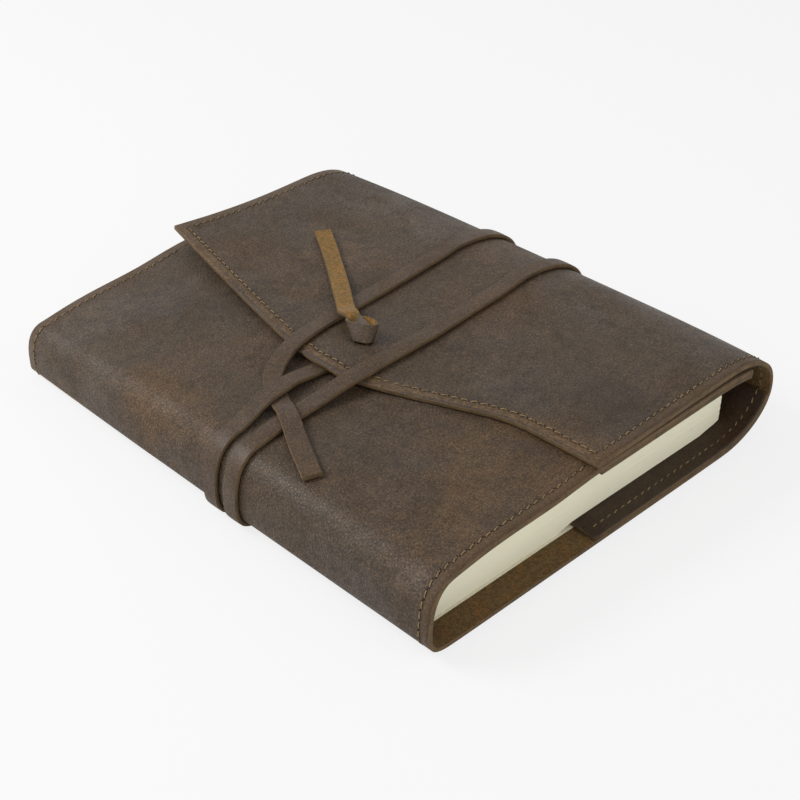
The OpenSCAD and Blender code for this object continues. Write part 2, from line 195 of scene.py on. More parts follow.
def flap_edge_x(y):
    """Place of the flap's free edge, found by stepping in from the spine side."""
    x = -0.045
    while len(from_above(x, y)) < 6 and x < 0.02:
        x += 0.25 * MM
    return x


EDGE_STOPS = [COVER_LOW.y + 0.3 * MM + (COVER_HIGH.y - COVER_LOW.y - 0.6 * MM) * k / 112 for k in range(113)]
EDGE_PLACES = [(flap_edge_x(y), y) for y in EDGE_STOPS]


def flap_z(x, y):
    """Upper face of the flap, carried on past its free edge."""
    skins = from_above(x, y)
    while len(skins) < 6:
        x += 0.5 * MM
        skins = from_above(x, y)
    return skins[0][0].z


def board_z(x, y):
    """Upper face of the front board, also under the flap."""
    return from_above(x, y)[-4][0].z


def rim_gap(place):
    """Distance in the plane from a point of the flap to the flap's free edge."""
    return min(math.hypot(place.x - x, place.y - y) for x, y in EDGE_PLACES)


# Node helpers
def add_node(tree, kind, inputs=None, **settings):
    made = tree.nodes.new(kind)
    for key, value in settings.items():
        setattr(made, key, value)
    for key, value in (inputs or {}).items():
        socket = made.inputs[key]
        if isinstance(value, bpy.types.NodeSocket):
            tree.links.new(value, socket)
        else:
            socket.default_value = value
    return made


def new_group(name, inputs, outputs):
    tree = bpy.data.node_groups.new(name, "ShaderNodeTree")
    for label, kind, value in inputs:
        socket = tree.interface.new_socket(name=label, in_out="INPUT", socket_type=kind)
        if value is not None:
            socket.default_value = value
    for label, kind in outputs:
        tree.interface.new_socket(name=label, in_out="OUTPUT", socket_type=kind)
    return tree, tree.nodes.new("NodeGroupInput").outputs, tree.nodes.new("NodeGroupOutput").inputs


def place_group(tree, group, inputs):
    made = tree.nodes.new("ShaderNodeGroup")
    made.node_tree = group
    for key, value in inputs.items():
        if isinstance(value, bpy.types.NodeSocket):
            tree.links.new(value, made.inputs[key])
        else:
            made.inputs[key].default_value = value
    return made.outputs


def calc(tree, operation, a, b=0.0, clamp=False):
    return add_node(tree, "ShaderNodeMath", {0: a, 1: b}, operation=operation, use_clamp=clamp).outputs[0]


def ramp(tree, value, low, high, to_low=0.0, to_high=1.0):
    made = add_node(tree, "ShaderNodeMapRange", {"Value": value, "From Min": low, "From Max": high,
                                                 "To Min": to_low, "To Max": to_high},
                    interpolation_type="SMOOTHSTEP")
    return made.outputs["Result"]


def blend(tree, share, a, b, mode="MIX"):
    made = add_node(tree, "ShaderNodeMix", data_type="RGBA", blend_type=mode, clamp_factor=True)
    for socket, value in ((made.inputs[0], share), (made.inputs[6], a), (made.inputs[7], b)):
        if isinstance(value, bpy.types.NodeSocket):
            tree.links.new(value, socket)
        elif hasattr(value, "__len__"):
            socket.default_value = (*value[:3], 1)
        else:
            socket.default_value = value
    return made.outputs[2]


def cloud(tree, place, scale, detail=3.0, roughness=0.55, distortion=0.0):
    made = add_node(tree, "ShaderNodeTexNoise", {"Vector": place, "Scale": scale, "Detail": detail,
                                                 "Roughness": roughness, "Distortion": distortion})
    return made.outputs["Fac"]


def make_patches():
    """Soft patches of one size, cut at a level."""
    tree, given, out = new_group(
        "soft_patches",
        [("Place", "NodeSocketVector", None), ("Scale", "NodeSocketFloat", 30.0),
         ("Low", "NodeSocketFloat", 0.45), ("High", "NodeSocketFloat", 0.65)],
        [("Mask", "NodeSocketFloat")])
    fog = cloud(tree, given["Place"], given["Scale"], 4.0, 0.6, 0.4)
    made = add_node(tree, "ShaderNodeMapRange",
                    {"Value": fog, "From Min": given["Low"], "From Max": given["High"]},
                    interpolation_type="SMOOTHSTEP")
    tree.links.new(made.outputs["Result"], out["Mask"])
    return tree


def make_pebble():
    """Small rounded cells of leather grain, with fine creases between them."""
    tree, given, out = new_group(
        "pebble_grain",
        [("Place", "NodeSocketVector", None), ("Cells", "NodeSocketFloat", 900.0)],
        [("Height", "NodeSocketFloat"), ("Crease", "NodeSocketFloat")])
    warp = add_node(tree, "ShaderNodeTexNoise", {"Vector": given["Place"], "Scale": 420.0, "Detail": 2.0})
    pull = add_node(tree, "ShaderNodeVectorMath", {0: warp.outputs["Color"], 1: (0.0011, 0.0011, 0.0011)},
                    operation="MULTIPLY")
    moved = add_node(tree, "ShaderNodeVectorMath", {0: given["Place"], 1: pull.outputs[0]}, operation="ADD")
    cells = add_node(tree, "ShaderNodeTexVoronoi", {"Vector": moved.outputs[0], "Scale": given["Cells"]},
                     feature="DISTANCE_TO_EDGE")
    crease = ramp(tree, cells.outputs["Distance"], 0.0, 0.20, 1.0, 0.0)
    fine = cloud(tree, given["Place"], 2600.0, 3.0, 0.6)
    dome = ramp(tree, cells.outputs["Distance"], 0.0, 0.34)
    height = calc(tree, "ADD", calc(tree, "MULTIPLY", dome, 0.75), calc(tree, "MULTIPLY", fine, 0.25))
    tree.links.new(height, out["Height"])
    tree.links.new(crease, out["Crease"])
    return tree


def make_speckle():
    """Fine light and dark flecks, as a factor on a colour."""
    tree, given, out = new_group(
        "fine_speckle", [("Place", "NodeSocketVector", None), ("Contrast", "NodeSocketFloat", 0.5)],
        [("Factor", "NodeSocketFloat")])
    small = cloud(tree, given["Place"], 1350.0, 2.0, 0.7)
    wide = cloud(tree, given["Place"], 210.0, 4.0, 0.65)
    mixed = calc(tree, "ADD", calc(tree, "MULTIPLY", small, 0.72), calc(tree, "MULTIPLY", wide, 0.28))
    centred = calc(tree, "SUBTRACT", ramp(tree, mixed, 0.34, 0.66), 0.5)
    factor = calc(tree, "ADD", 1.0, calc(tree, "MULTIPLY", centred,
                                         calc(tree, "MULTIPLY", given["Contrast"], 2.0)))
    tree.links.new(factor, out["Factor"])
    return tree


def make_spot():
    """One soft round place with an uneven border."""
    tree, given, out = new_group(
        "worn_spot",
        [("Place", "NodeSocketVector", None), ("Centre", "NodeSocketVector", None),
         ("Reach", "NodeSocketFloat", 0.03)],
        [("Mask", "NodeSocketFloat")])
    away = add_node(tree, "ShaderNodeVectorMath", {0: given["Place"], 1: given["Centre"]},
                    operation="DISTANCE")
    share = calc(tree, "DIVIDE", away.outputs["Value"], given["Reach"])
    ragged = calc(tree, "MULTIPLY", calc(tree, "SUBTRACT", cloud(tree, given["Place"], 45.0, 4.0, 0.65),
                                         0.5), 1.8)
    tree.links.new(ramp(tree, calc(tree, "ADD", share, ragged), 1.0, 0.15), out["Mask"])
    return tree


def make_nap():
    """Short brushed fibres of the flesh side."""
    tree, given, out = new_group(
        "suede_nap", [("Place", "NodeSocketVector", None), ("Fibres", "NodeSocketFloat", 1500.0)],
        [("Height", "NodeSocketFloat"), ("Specks", "NodeSocketFloat")])
    fibres = cloud(tree, given["Place"], given["Fibres"], 4.0, 0.75, 0.6)
    tufts = cloud(tree, given["Place"], 620.0, 3.0, 0.7, 0.3)
    height = calc(tree, "ADD", calc(tree, "MULTIPLY", fibres, 0.55), calc(tree, "MULTIPLY", tufts, 0.45))
    tree.links.new(height, out["Height"])
    tree.links.new(ramp(tree, height, 0.42, 0.60), out["Specks"])
    return tree


def make_rub():
    """Wear that fades out with distance from an edge and breaks up on the way."""
    tree, given, out = new_group(
        "edge_rub",
        [("Place", "NodeSocketVector", None), ("Distance", "NodeSocketFloat", 1.0),
         ("Width", "NodeSocketFloat", 0.001), ("Breaks", "NodeSocketFloat", 500.0)],
        [("Mask", "NodeSocketFloat")])
    near = calc(tree, "SUBTRACT", 1.0, calc(tree, "DIVIDE", given["Distance"], given["Width"]), clamp=True)
    breaks = add_node(tree, "ShaderNodeTexNoise",
                      {"Vector": given["Place"], "Scale": given["Breaks"], "Detail": 3.0})
    held = ramp(tree, breaks.outputs["Fac"], 0.30, 0.62)
    tree.links.new(calc(tree, "MULTIPLY", near, held), out["Mask"])
    return tree


GROUPS = {}


def build_groups():
    GROUPS["patches"] = make_patches()
    GROUPS["pebble"] = make_pebble()
    GROUPS["speckle"] = make_speckle()
    GROUPS["spot"] = make_spot()
    GROUPS["nap"] = make_nap()
    GROUPS["rub"] = make_rub()


def start_material(name):
    material = bpy.data.materials.new(name)
    material.use_nodes = True
    tree = material.node_tree
    shader = tree.nodes["Principled BSDF"]
    place = add_node(tree, "ShaderNodeTexCoord").outputs["Object"]
    return material, tree, shader, place


def patches(tree, place, scale, low, high):
    return place_group(tree, GROUPS["patches"],
                       {"Place": place, "Scale": scale, "Low": low, "High": high})["Mask"]


def speckle(tree, place, colour, contrast):
    """A colour with fine flecks on it."""
    factor = place_group(tree, GROUPS["speckle"], {"Place": place, "Contrast": contrast})["Factor"]
    grey = add_node(tree, "ShaderNodeCombineXYZ", {"X": factor, "Y": factor, "Z": factor}).outputs[0]
    return blend(tree, 1.0, colour, grey, "MULTIPLY")


def leather_colour(tree, place, colours, crease, contrast):
    """Dark oiled leather: smoky and warm patches, fine warm dust, flecks and darker creases."""
    base = blend(tree, calc(tree, "MULTIPLY", patches(tree, place, 30.0, 0.44, 0.64), 0.55), colours.grain,
                 colours.smoky)
    warm = calc(tree, "MULTIPLY", patches(tree, place, 21.0, 0.50, 0.72), 0.40)
    base = blend(tree, warm, base, colours.warm)
    dark = calc(tree, "MULTIPLY", patches(tree, place, 38.0, 0.52, 0.74), 0.38)
    base = blend(tree, dark, base, [c * 0.62 for c in colours.grain])
    dust = calc(tree, "MULTIPLY", patches(tree, place, 900.0, 0.52, 0.72), 0.36)
    base = blend(tree, dust, base, [c * 1.5 for c in colours.warm])
    base = speckle(tree, place, base, contrast)
    return blend(tree, calc(tree, "MULTIPLY", crease, 0.42), base, [c * 0.4 for c in colours.grain])


# Places on the cover that are rubbed warm, paler, cooler or darker: centre and reach in millimetres, share.
# The pale spot at (-91, -100) on the spine's near shoulder is a painted sheen highlight, and the dark spots
# at (-30, 60) and (-20, -92), beside the flap's free edge, are painted shade of the gap under the flap.
WARM_SPOTS = [((-40, -88, 33), 42, 0.50), ((-12, -108, 34), 34, 0.50), ((-84, 34, 26), 26, 0.60),
              ((-86, 8, 26), 16, 0.45), ((-80, -100, 30), 22, 0.35), ((40, -20, 36), 30, 0.30),
              ((72, 5, 36), 24, 0.35), ((20, 45, 37), 22, 0.30), ((-48, 30, 31), 22, 0.25)]
PALE_AND_SHEEN_SPOTS = [((-70, 98, 25), 24, 0.28), ((-91, -100, 28), 11, 0.85), ((58, 62, 37), 24, 0.35),
              ((2, -46, 36), 15, 0.45), ((-91, 70, 14), 24, 0.20), ((-24, -36, 34), 12, 0.25),
              ((62, 40, 37), 14, 0.40), ((-2, 22, 37), 14, 0.35)]
COOL_SPOTS = [((-91, -78, 12), 40, 0.60), ((6, -62, 36), 28, 0.65), ((-44, 82, 27), 24, 0.40),
              ((60, 88, 36), 24, 0.35)]
DARK_AND_SHADE_SPOTS = [((16, -98, 36), 26, 0.75), ((-30, 60, 29), 24, 0.45), ((-62, -58, 32), 24, 0.30),
              ((30, 88, 36), 20, 0.35),
              ((-20, -92, 33), 16, 0.35)]


def add_spots(tree, place, colour, spots, tint):
    for centre, reach, share in spots:
        mask = place_group(tree, GROUPS["spot"], {"Place": place, "Centre": [c * MM for c in centre],
                                                  "Reach": reach * MM})["Mask"]
        colour = blend(tree, calc(tree, "MULTIPLY", mask, share), colour, tint)
    return colour


def make_cover_leather(colours, sizes):
    """Grain side of the cover, with its worn places and rubbed rims, a painted sheen highlight along the
    spine's shoulder and painted shade beside the flap's free edge.
    """
    material, tree, shader, place = start_material("cover_leather")
    pebble = place_group(tree, GROUPS["pebble"], {"Place": place, "Cells": 880.0})
    parts = add_node(tree, "ShaderNodeSeparateXYZ", {0: place}).outputs
    tail = calc(tree, "SUBTRACT", parts["Y"], COVER_LOW.y)
    head = calc(tree, "SUBTRACT", COVER_HIGH.y, parts["Y"])
    rim = add_node(tree, "ShaderNodeAttribute", attribute_name="rim_gap").outputs["Fac"]
    edge = calc(tree, "MINIMUM", calc(tree, "MINIMUM", tail, head), rim)
    base = blend(tree, calc(tree, "MULTIPLY", patches(tree, place, 30.0, 0.44, 0.64), 0.5), colours.grain,
                 colours.smoky)
    base = blend(tree, calc(tree, "MULTIPLY", patches(tree, place, 21.0, 0.52, 0.74), 0.30), base,
                 colours.warm)
    base = add_spots(tree, place, base, COOL_SPOTS, [c * 0.9 for c in colours.smoky])
    base = add_spots(tree, place, base, WARM_SPOTS, colours.warm)
    # Paler smoky tint: pale patches, and at the spine's near shoulder a painted sheen highlight
    base = add_spots(tree, place, base, PALE_AND_SHEEN_SPOTS, [c * 1.55 for c in colours.smoky])
    # Darker grain tint: dark patches, and beside the flap's free edge painted shade of the gap under the flap
    base = add_spots(tree, place, base, DARK_AND_SHADE_SPOTS, [c * 0.55 for c in colours.grain])
    # Painted sheen highlight: a lighter smoky streak along the spine's upper shoulder, broken up by patches
    across_shoulder = add_node(tree, "ShaderNodeCombineXYZ", {"X": parts["X"], "Z": parts["Z"]}).outputs[0]
    off_line = add_node(tree, "ShaderNodeVectorMath",
                        {0: across_shoulder, 1: (COVER_LOW.x + SHEEN_LINE_IN, 0, SHEEN_LINE_RISE)},
                        operation="DISTANCE").outputs["Value"]
    shoulder_sheen = calc(tree, "MULTIPLY", ramp(tree, off_line, SHEEN_LINE_REACH, 0.0),
                    patches(tree, place, 120.0, 0.40, 0.62))
    base = blend(tree, calc(tree, "MULTIPLY", shoulder_sheen, 0.45), base, [c * 1.7 for c in colours.smoky])
    mottle = calc(tree, "MULTIPLY", patches(tree, place, 95.0, 0.46, 0.70), 0.34)
    base = blend(tree, mottle, base, [c * 0.58 for c in colours.grain])
    dust = calc(tree, "MULTIPLY", patches(tree, place, 900.0, 0.52, 0.72), 0.40)
    base = blend(tree, dust, base, [c * 1.5 for c in colours.warm])
    base = speckle(tree, place, base, 0.55)
    colour = blend(tree, calc(tree, "MULTIPLY", pebble["Crease"], 0.42), base,
                   [c * 0.4 for c in colours.grain])
    band = ramp(tree, edge, sizes.seam_inset * 1.1, sizes.seam_inset * 0.75)
    colour = blend(tree, calc(tree, "MULTIPLY", band, 0.28), colour, colours.warm)
    tan_rim = ramp(tree, rim, sizes.seam_inset * 1.15, sizes.seam_inset * 0.6)
    flecks = calc(tree, "MULTIPLY", calc(tree, "MULTIPLY", tan_rim,
                                         patches(tree, place, 700.0, 0.46, 0.62)), 0.42)
    colour = blend(tree, flecks, colour, colours.tan)
    rub = place_group(tree, GROUPS["rub"],
                      {"Place": place, "Distance": edge, "Width": 0.55 * MM, "Breaks": 520.0})
    colour = blend(tree, calc(tree, "MULTIPLY", rub["Mask"], 0.75), colour, colours.tan)
    pull = calc(tree, "ABSOLUTE", calc(tree, "SUBTRACT", edge, sizes.seam_inset))
    pull = ramp(tree, pull, 0.0, 0.9 * MM)
    colour = blend(tree, calc(tree, "MULTIPLY", calc(tree, "SUBTRACT", 1.0, pull), 0.30), colour,
                   [c * 0.5 for c in colours.grain])
    tree.links.new(colour, shader.inputs["Base Color"])
    polish = patches(tree, place, 40.0, 0.35, 0.7)
    rough = calc(tree, "ADD", ramp(tree, polish, 0.0, 1.0, 0.42, 0.58),
                 calc(tree, "MULTIPLY", pebble["Crease"], 0.12))
    tree.links.new(rough, shader.inputs["Roughness"])
    wave = cloud(tree, place, 55.0, 3.0, 0.5, 0.2)
    broad = add_node(tree, "ShaderNodeBump",
                     {"Height": wave, "Distance": 0.9 * MM, "Strength": 0.6}).outputs[0]
    seam = add_node(tree, "ShaderNodeBump", {"Height": pull, "Distance": 0.14 * MM, "Strength": 0.7,
                                             "Normal": broad}).outputs[0]
    grain = add_node(tree, "ShaderNodeBump",
                     {"Height": pebble["Height"], "Distance": 0.12 * MM, "Strength": 0.9,
                                              "Normal": seam}).outputs[0]
    tree.links.new(grain, shader.inputs["Normal"])
    shader.inputs["Specular IOR Level"].default_value = 0.24
    return material


def make_plain_leather(name, colours, tone, cells, warmth, contrast):
    """Leather without seams of its own, for the lace and the pockets."""
    material, tree, shader, place = start_material(name)
    pebble = place_group(tree, GROUPS["pebble"], {"Place": place, "Cells": cells})
    colour = leather_colour(tree, place, colours, pebble["Crease"], contrast)
    colour = blend(tree, 1.0, colour, (tone, tone * warmth, tone * warmth * warmth), "MULTIPLY")
    tree.links.new(colour, shader.inputs["Base Color"])
    rough = ramp(tree, patches(tree, place, 60.0, 0.3, 0.7), 0.0, 1.0, 0.44, 0.60)
    tree.links.new(rough, shader.inputs["Roughness"])
    grain = add_node(tree, "ShaderNodeBump",
                     {"Height": pebble["Height"], "Distance": 0.09 * MM, "Strength": 0.6})
    tree.links.new(grain.outputs[0], shader.inputs["Normal"])
    shader.inputs["Specular IOR Level"].default_value = 0.24
    return material


def make_suede(name, main, dark_share, fibres):
    """Flesh side of a leather."""
    material, tree, shader, place = start_material(name)
    nap = place_group(tree, GROUPS["nap"], {"Place": place, "Fibres": fibres})
    rust = patches(tree, place, 230.0, 0.46, 0.62)
    colour = blend(tree, calc(tree, "MULTIPLY", rust, 0.75), main,
                   (main[0] * 1.55, main[1] * 1.05, main[2] * 0.7))
    colour = blend(tree, calc(tree, "MULTIPLY", nap["Specks"], dark_share), [c * 0.42 for c in main], colour)
    colour = blend(tree, calc(tree, "MULTIPLY", patches(tree, place, 1300.0, 0.58, 0.72), 0.4), colour,
                   [min(1, c * 1.8) for c in main])
    tree.links.new(colour, shader.inputs["Base Color"])
    bump = add_node(tree, "ShaderNodeBump", {"Height": nap["Height"], "Distance": 0.25 * MM, "Strength": 0.8})
    tree.links.new(bump.outputs[0], shader.inputs["Normal"])
    shader.inputs["Roughness"].default_value = 0.92
    shader.inputs["Specular IOR Level"].default_value = 0.2
    shader.inputs["Sheen Weight"].default_value = 0.25
    shader.inputs["Sheen Roughness"].default_value = 0.5
    shader.inputs["Sheen Tint"].default_value = (0.7, 0.55, 0.35, 1)
    return material


def make_cut_edge(name, colours, dirt, tone):
    """Raw cut edge of the leather, fibrous and a little dirty, and darkened towards the grain colour as
    painted shade of edges that lie in shadow.
    """
    material, tree, shader, place = start_material(name)
    nap = place_group(tree, GROUPS["nap"], {"Place": place, "Fibres": 2600.0})
    # dirt and tone pull the raw tan towards the grain colour: partly dirt, partly painted shade of edges in
    # shadow
    soil_and_shade = patches(tree, place, 210.0, 0.40, 0.66)
    raw = [c * tone for c in colours.tan]
    colour = blend(tree, calc(tree, "MULTIPLY", soil_and_shade, dirt), raw, colours.grain)
    colour = blend(tree, calc(tree, "MULTIPLY", nap["Specks"], 0.4), colour, [c * 0.5 for c in colours.tan])
    tree.links.new(colour, shader.inputs["Base Color"])
    bump = add_node(tree, "ShaderNodeBump", {"Height": nap["Height"], "Distance": 0.15 * MM, "Strength": 0.7})
    tree.links.new(bump.outputs[0], shader.inputs["Normal"])
    shader.inputs["Roughness"].default_value = 0.8
    shader.inputs["Specular IOR Level"].default_value = 0.3
    return material


def make_thread(colours):
    """Waxed linen thread, lighter where it was handled."""
    material, tree, shader, place = start_material("linen_thread")
    worn = patches(tree, place, 140.0, 0.50, 0.72)
    pale = [min(1, c * 1.7 + 0.03) for c in colours.thread]
    colour = blend(tree, calc(tree, "MULTIPLY", worn, 0.7), colours.thread, pale)
    dirt = patches(tree, place, 480.0, 0.42, 0.64)
    colour = blend(tree, calc(tree, "MULTIPLY", dirt, 0.65), colour, [c * 0.36 for c in colours.thread])
    tree.links.new(colour, shader.inputs["Base Color"])
    ply = cloud(tree, place, 5200.0, 2.0, 0.5)
    bump = add_node(tree, "ShaderNodeBump", {"Height": ply, "Distance": 0.06 * MM, "Strength": 0.6})
    tree.links.new(bump.outputs[0], shader.inputs["Normal"])
    shader.inputs["Roughness"].default_value = 0.62
    return material


def make_hole(colours):
    """Shade inside the needle holes."""
    material, tree, shader, place = start_material("needle_hole_shade")
    shade = blend(tree, cloud(tree, place, 900.0), [c * 0.22 for c in colours.grain],
                  [c * 0.5 for c in colours.grain])
    tree.links.new(shade, shader.inputs["Base Color"])
    shader.inputs["Roughness"].default_value = 0.95
    shader.inputs["Specular IOR Level"].default_value = 0.05
    return material


def make_paper(colours):
    """Edges of the stacked pages: fine level lines, soft mottling and a few dark specks."""
    material, tree, shader, place = start_material("page_paper")
    flat = add_node(tree, "ShaderNodeMapping", {"Vector": place, "Scale": (0.02, 0.02, 1.0)}).outputs[0]
    lines = cloud(tree, flat, 5200.0, 2.0, 0.6)
    soft = patches(tree, place, 35.0, 0.35, 0.70)
    colour = blend(tree, calc(tree, "MULTIPLY", soft, 0.35), colours.paper, [c * 0.93 for c in colours.paper])
    colour = blend(tree, calc(tree, "MULTIPLY", ramp(tree, lines, 0.45, 0.70), 0.09), colour,
                   [colours.paper[0] * 0.72, colours.paper[1] * 0.70, colours.paper[2] * 0.62])
    speck_cells = add_node(tree, "ShaderNodeTexVoronoi", {"Vector": place, "Scale": 135.0, "Randomness": 1.0})
    speck = ramp(tree, speck_cells.outputs["Distance"], 0.045, 0.02)
    where = patches(tree, place, 24.0, 0.52, 0.60)
    colour = blend(tree, calc(tree, "MULTIPLY", calc(tree, "MULTIPLY", speck, where), 0.8), colour,
                   (0.16, 0.14, 0.09))
    tree.links.new(colour, shader.inputs["Base Color"])
    bump = add_node(tree, "ShaderNodeBump", {"Height": lines, "Distance": 0.06 * MM, "Strength": 0.3})
    tree.links.new(bump.outputs[0], shader.inputs["Normal"])
    shader.inputs["Roughness"].default_value = 0.86
    shader.inputs["Specular IOR Level"].default_value = 0.25
    return material


def make_card(colours):
    """Cream card of the refill's cover, with browner stains and darker fibres."""
    material, tree, shader, place = start_material("refill_card")
    fibre = cloud(tree, place, 700.0, 4.0, 0.7)
    stain = patches(tree, place, 60.0, 0.40, 0.70)
    cream = [c * 0.90 for c in colours.paper]
    colour = blend(tree, calc(tree, "MULTIPLY", stain, 0.4), cream,
                   (cream[0] * 0.86, cream[1] * 0.78, cream[2] * 0.60))
    colour = blend(tree, calc(tree, "MULTIPLY", ramp(tree, fibre, 0.5, 0.75), 0.2), colour,
                   (0.45, 0.36, 0.20))
    tree.links.new(colour, shader.inputs["Base Color"])
    bump = add_node(tree, "ShaderNodeBump", {"Height": fibre, "Distance": 0.05 * MM, "Strength": 0.5})
    tree.links.new(bump.outputs[0], shader.inputs["Normal"])
    shader.inputs["Roughness"].default_value = 0.8
    return material


MATERIALS = {}


def build_materials(scene):
    colours, sizes = scene.journal_colours, scene.journal_sizes
    MATERIALS["grain"] = make_cover_leather(colours, sizes)
    MATERIALS["pocket"] = make_plain_leather("pocket_leather", colours, 0.70, 1500.0, 0.88, 0.2)
    MATERIALS["lace"] = make_plain_leather("lace_leather", colours, 1.12, 1000.0, 0.96, 0.42)
    MATERIALS["suede"] = make_suede("cover_suede", list(colours.suede), 0.8, 1500.0)
    MATERIALS["ochre"] = make_suede("lace_suede", list(colours.ochre), 0.7, 1400.0)
    # The cut edges of cover, pockets and lace are painted darker than the raw tan, partly as dirt and partly
    # as painted shade; the pocket edges are darkest
    MATERIALS["edge"] = make_cut_edge("cut_edge_cover", colours, 0.65, 0.66)
    MATERIALS["dark_edge"] = make_cut_edge("cut_edge_dark", colours, 0.90, 0.55)
    MATERIALS["lace_edge"] = make_cut_edge("cut_edge_lace", colours, 0.70, 0.58)
    MATERIALS["thread"] = make_thread(colours)
    MATERIALS["hole"] = make_hole(colours)
    MATERIALS["paper"] = make_paper(colours)
    MATERIALS["card"] = make_card(colours)


# Faces of a folded leather sheet, by the side that they are on
GRAIN, FLESH, CUT = 0, 1, 2


def goes_through(edge, wall):
    """Whether an edge crosses the sheet's thickness, which always lies across Y."""
    start, end = (vertex.co for vertex in edge.verts)
    return edge.calc_length() < wall and abs(end.y - start.y) < edge.calc_length() / 2


def sort_faces(piece, wall, outer_is_grain=True):
    """Gives each face of a sheet its side, and creases the arris of every cut edge."""
    mesh = piece.data
    work = bmesh.new()
    work.from_mesh(mesh)
    crease = work.edges.layers.float.get("crease_edge") or work.edges.layers.float.new("crease_edge")
    for face in work.faces:
        if any(goes_through(edge, wall) for edge in face.edges):
            face.material_index = CUT
            continue
        middle = face.calc_center_median()
        core = Vector((min(max(middle.x, SPINE_ROOT), FOLD_ROOT), middle.y, MIDDLE_Z))
        outer = face.normal.dot(middle - core) > 0
        face.material_index = GRAIN if outer == outer_is_grain else FLESH
    for edge in work.edges:
        kinds = {face.material_index for face in edge.link_faces}
        if CUT in kinds and len(kinds) > 1:
            edge[crease] = 0.9
        elif kinds == {CUT} and edge.calc_face_angle(0.0) > math.radians(12):
            edge[crease] = 0.75
    work.to_mesh(mesh)
    work.free()


def paint_rim_gap(piece):
    """Stores each point's distance from the flap's free edge, and a large one off the flap."""
    layer = piece.data.attributes.new("rim_gap", "FLOAT", "POINT")
    far = 1.0
    values = []
    for vertex in piece.data.vertices:
        place = vertex.co
        on_flap = place.z > board_top_guess(place) and place.x < FOLD_ROOT - 12 * MM
        values.append(rim_gap(place) if on_flap else far)
    layer.data.foreach_set("value", values)


def board_top_guess(place):
    """Height that parts the flap from the front board below it."""
    skins = from_above(place.x, place.y)
    if len(skins) < 6:
        return COVER_HIGH.z
    return (skins[1][0].z + skins[2][0].z) / 2


class JOURNAL_OT_cover(bpy.types.Operator):
    """One folded sheet of leather: boards, spine, fold and flap"""

    bl_idname = "journal.cover"
    bl_label = "Cover"

    def execute(self, context):
        piece = own_copy("wrap_cover", "cover_sheet")
        sort_faces(piece, 1.05 * context.scene.journal_sizes.leather)
        subdivide_piece(piece, 2)
        for key in ("grain", "suede", "edge"):
            piece.data.materials.append(MATERIALS[key])
        paint_rim_gap(piece)
        finish_piece(piece, "wrap_cover", 50)
        return {"FINISHED"}


class JOURNAL_OT_pockets(bpy.types.Operator):
    """Smooth pocket leathers inside the boards"""

    bl_idname = "journal.pockets"
    bl_label = "Pockets"

    def execute(self, context):
        for node in ("front_pocket", "back_pocket"):
            piece = own_copy(node, node + "_panel")
            sort_faces(piece, 1.6 * MM, False)
            subdivide_piece(piece, 2)
            for key in ("pocket", "suede", "dark_edge"):
                piece.data.materials.append(MATERIALS[key])
            finish_piece(piece, node, 50)
        return {"FINISHED"}


def cut_in_layers(piece, low, high, count):
    """Cuts a solid at even heights, so that each layer has an edge of its own."""
    only(piece)
    bpy.ops.object.mode_set(mode="EDIT")
    for k in range(1, count):
        bpy.ops.mesh.select_all(action="SELECT")
        bpy.ops.mesh.bisect(plane_co=(0, 0, low + (high - low) * k / count), plane_no=(0, 0, 1))
    bpy.ops.object.mode_set(mode="OBJECT")


def ruffle_pages(piece, low, high, count):
    """Moves each layer's edge in or out by a hair, with a small ripple along the ends of the block."""
    rng = random.Random(7)
    shift = [rng.uniform(-0.10, 0.05) * MM for _ in range(count + 2)]
    low_y, high_y = PAGES_LOW.y, PAGES_HIGH.y
    for vertex in piece.data.vertices:
        place = vertex.co
        layer = int((place.z - low) / (high - low) * count + 0.5)
        hair = shift[max(0, min(count, layer))]
        ripple = 0.08 * MM * noise.noise(Vector((place.x * 90, place.z * 600, 3)))
        if place.y < low_y + 0.2 * MM:
            place.y -= hair + ripple
        elif place.y > high_y - 0.2 * MM:
            place.y += hair + ripple
        if place.x > PAGES_HIGH.x - 0.2 * MM:
            place.x += hair


class JOURNAL_OT_refill(bpy.types.Operator):
    """Stack of pages in its folded card"""

    bl_idname = "journal.refill"
    bl_label = "Refill"

    def execute(self, context):
        count = context.scene.journal_sizes.leaves
        pages = own_copy("text_block", "page_stack")
        cut_in_layers(pages, PAGES_LOW.z, PAGES_HIGH.z, count)
        ruffle_pages(pages, PAGES_LOW.z, PAGES_HIGH.z, count)
        pages.data.materials.append(MATERIALS["paper"])
        finish_piece(pages, "text_block", 30)
        card = own_copy("refill_card", "card_cover")
        card.data.materials.append(MATERIALS["card"])
        finish_piece(card, "refill_card", 30)
        return {"FINISHED"}


# Route of the lace in millimetres: place across, place along, and the layers of lace below
LAY_GAP = 0.4
SLIP = 0.15
SLOT_X, SLOT_Y = -17.5, -4.0
TAIL_ROUTE = [(28.2, 67.8, 0), (22, 57.6, 0), (14.6, 46.3, 0.05), (6.4, 34.4, 0.5), (2.2, 28.6, 0.9),
              (-1.8, 23.1, 1.25), (-5.2, 18.5, 1.55), (-8.5, 14, 1.8), (-12, 9.4, 2.6), (-13.3, 6.6, 3.1),
              (-14.1, 4.4, 3.2), (-14.6, 2.6, 2.7), (-14.9, 1.2, 1.8)]
TAIL_SHARES = [1] * 9 + [0.9, 0.8, 0.65, 0.5]
FIRST_ROUTE = [(-19.9, -4, 0), (-25, -4.5, 0), (-29.5, -4.1, 0), (-34.5, -3.1, 0), (-40.5, -2.5, 0.1),
               (-46.5, -2.8, 0.6), (-51.5, -3.3, 1.0), (-56.5, -4.2, 1.1), (-62.5, -4.9, 1.1), (-68, -5.9,
                                                                                                0.95),
               (-73, -6.7, 0.45), (-76, -7.1, 0.15)]
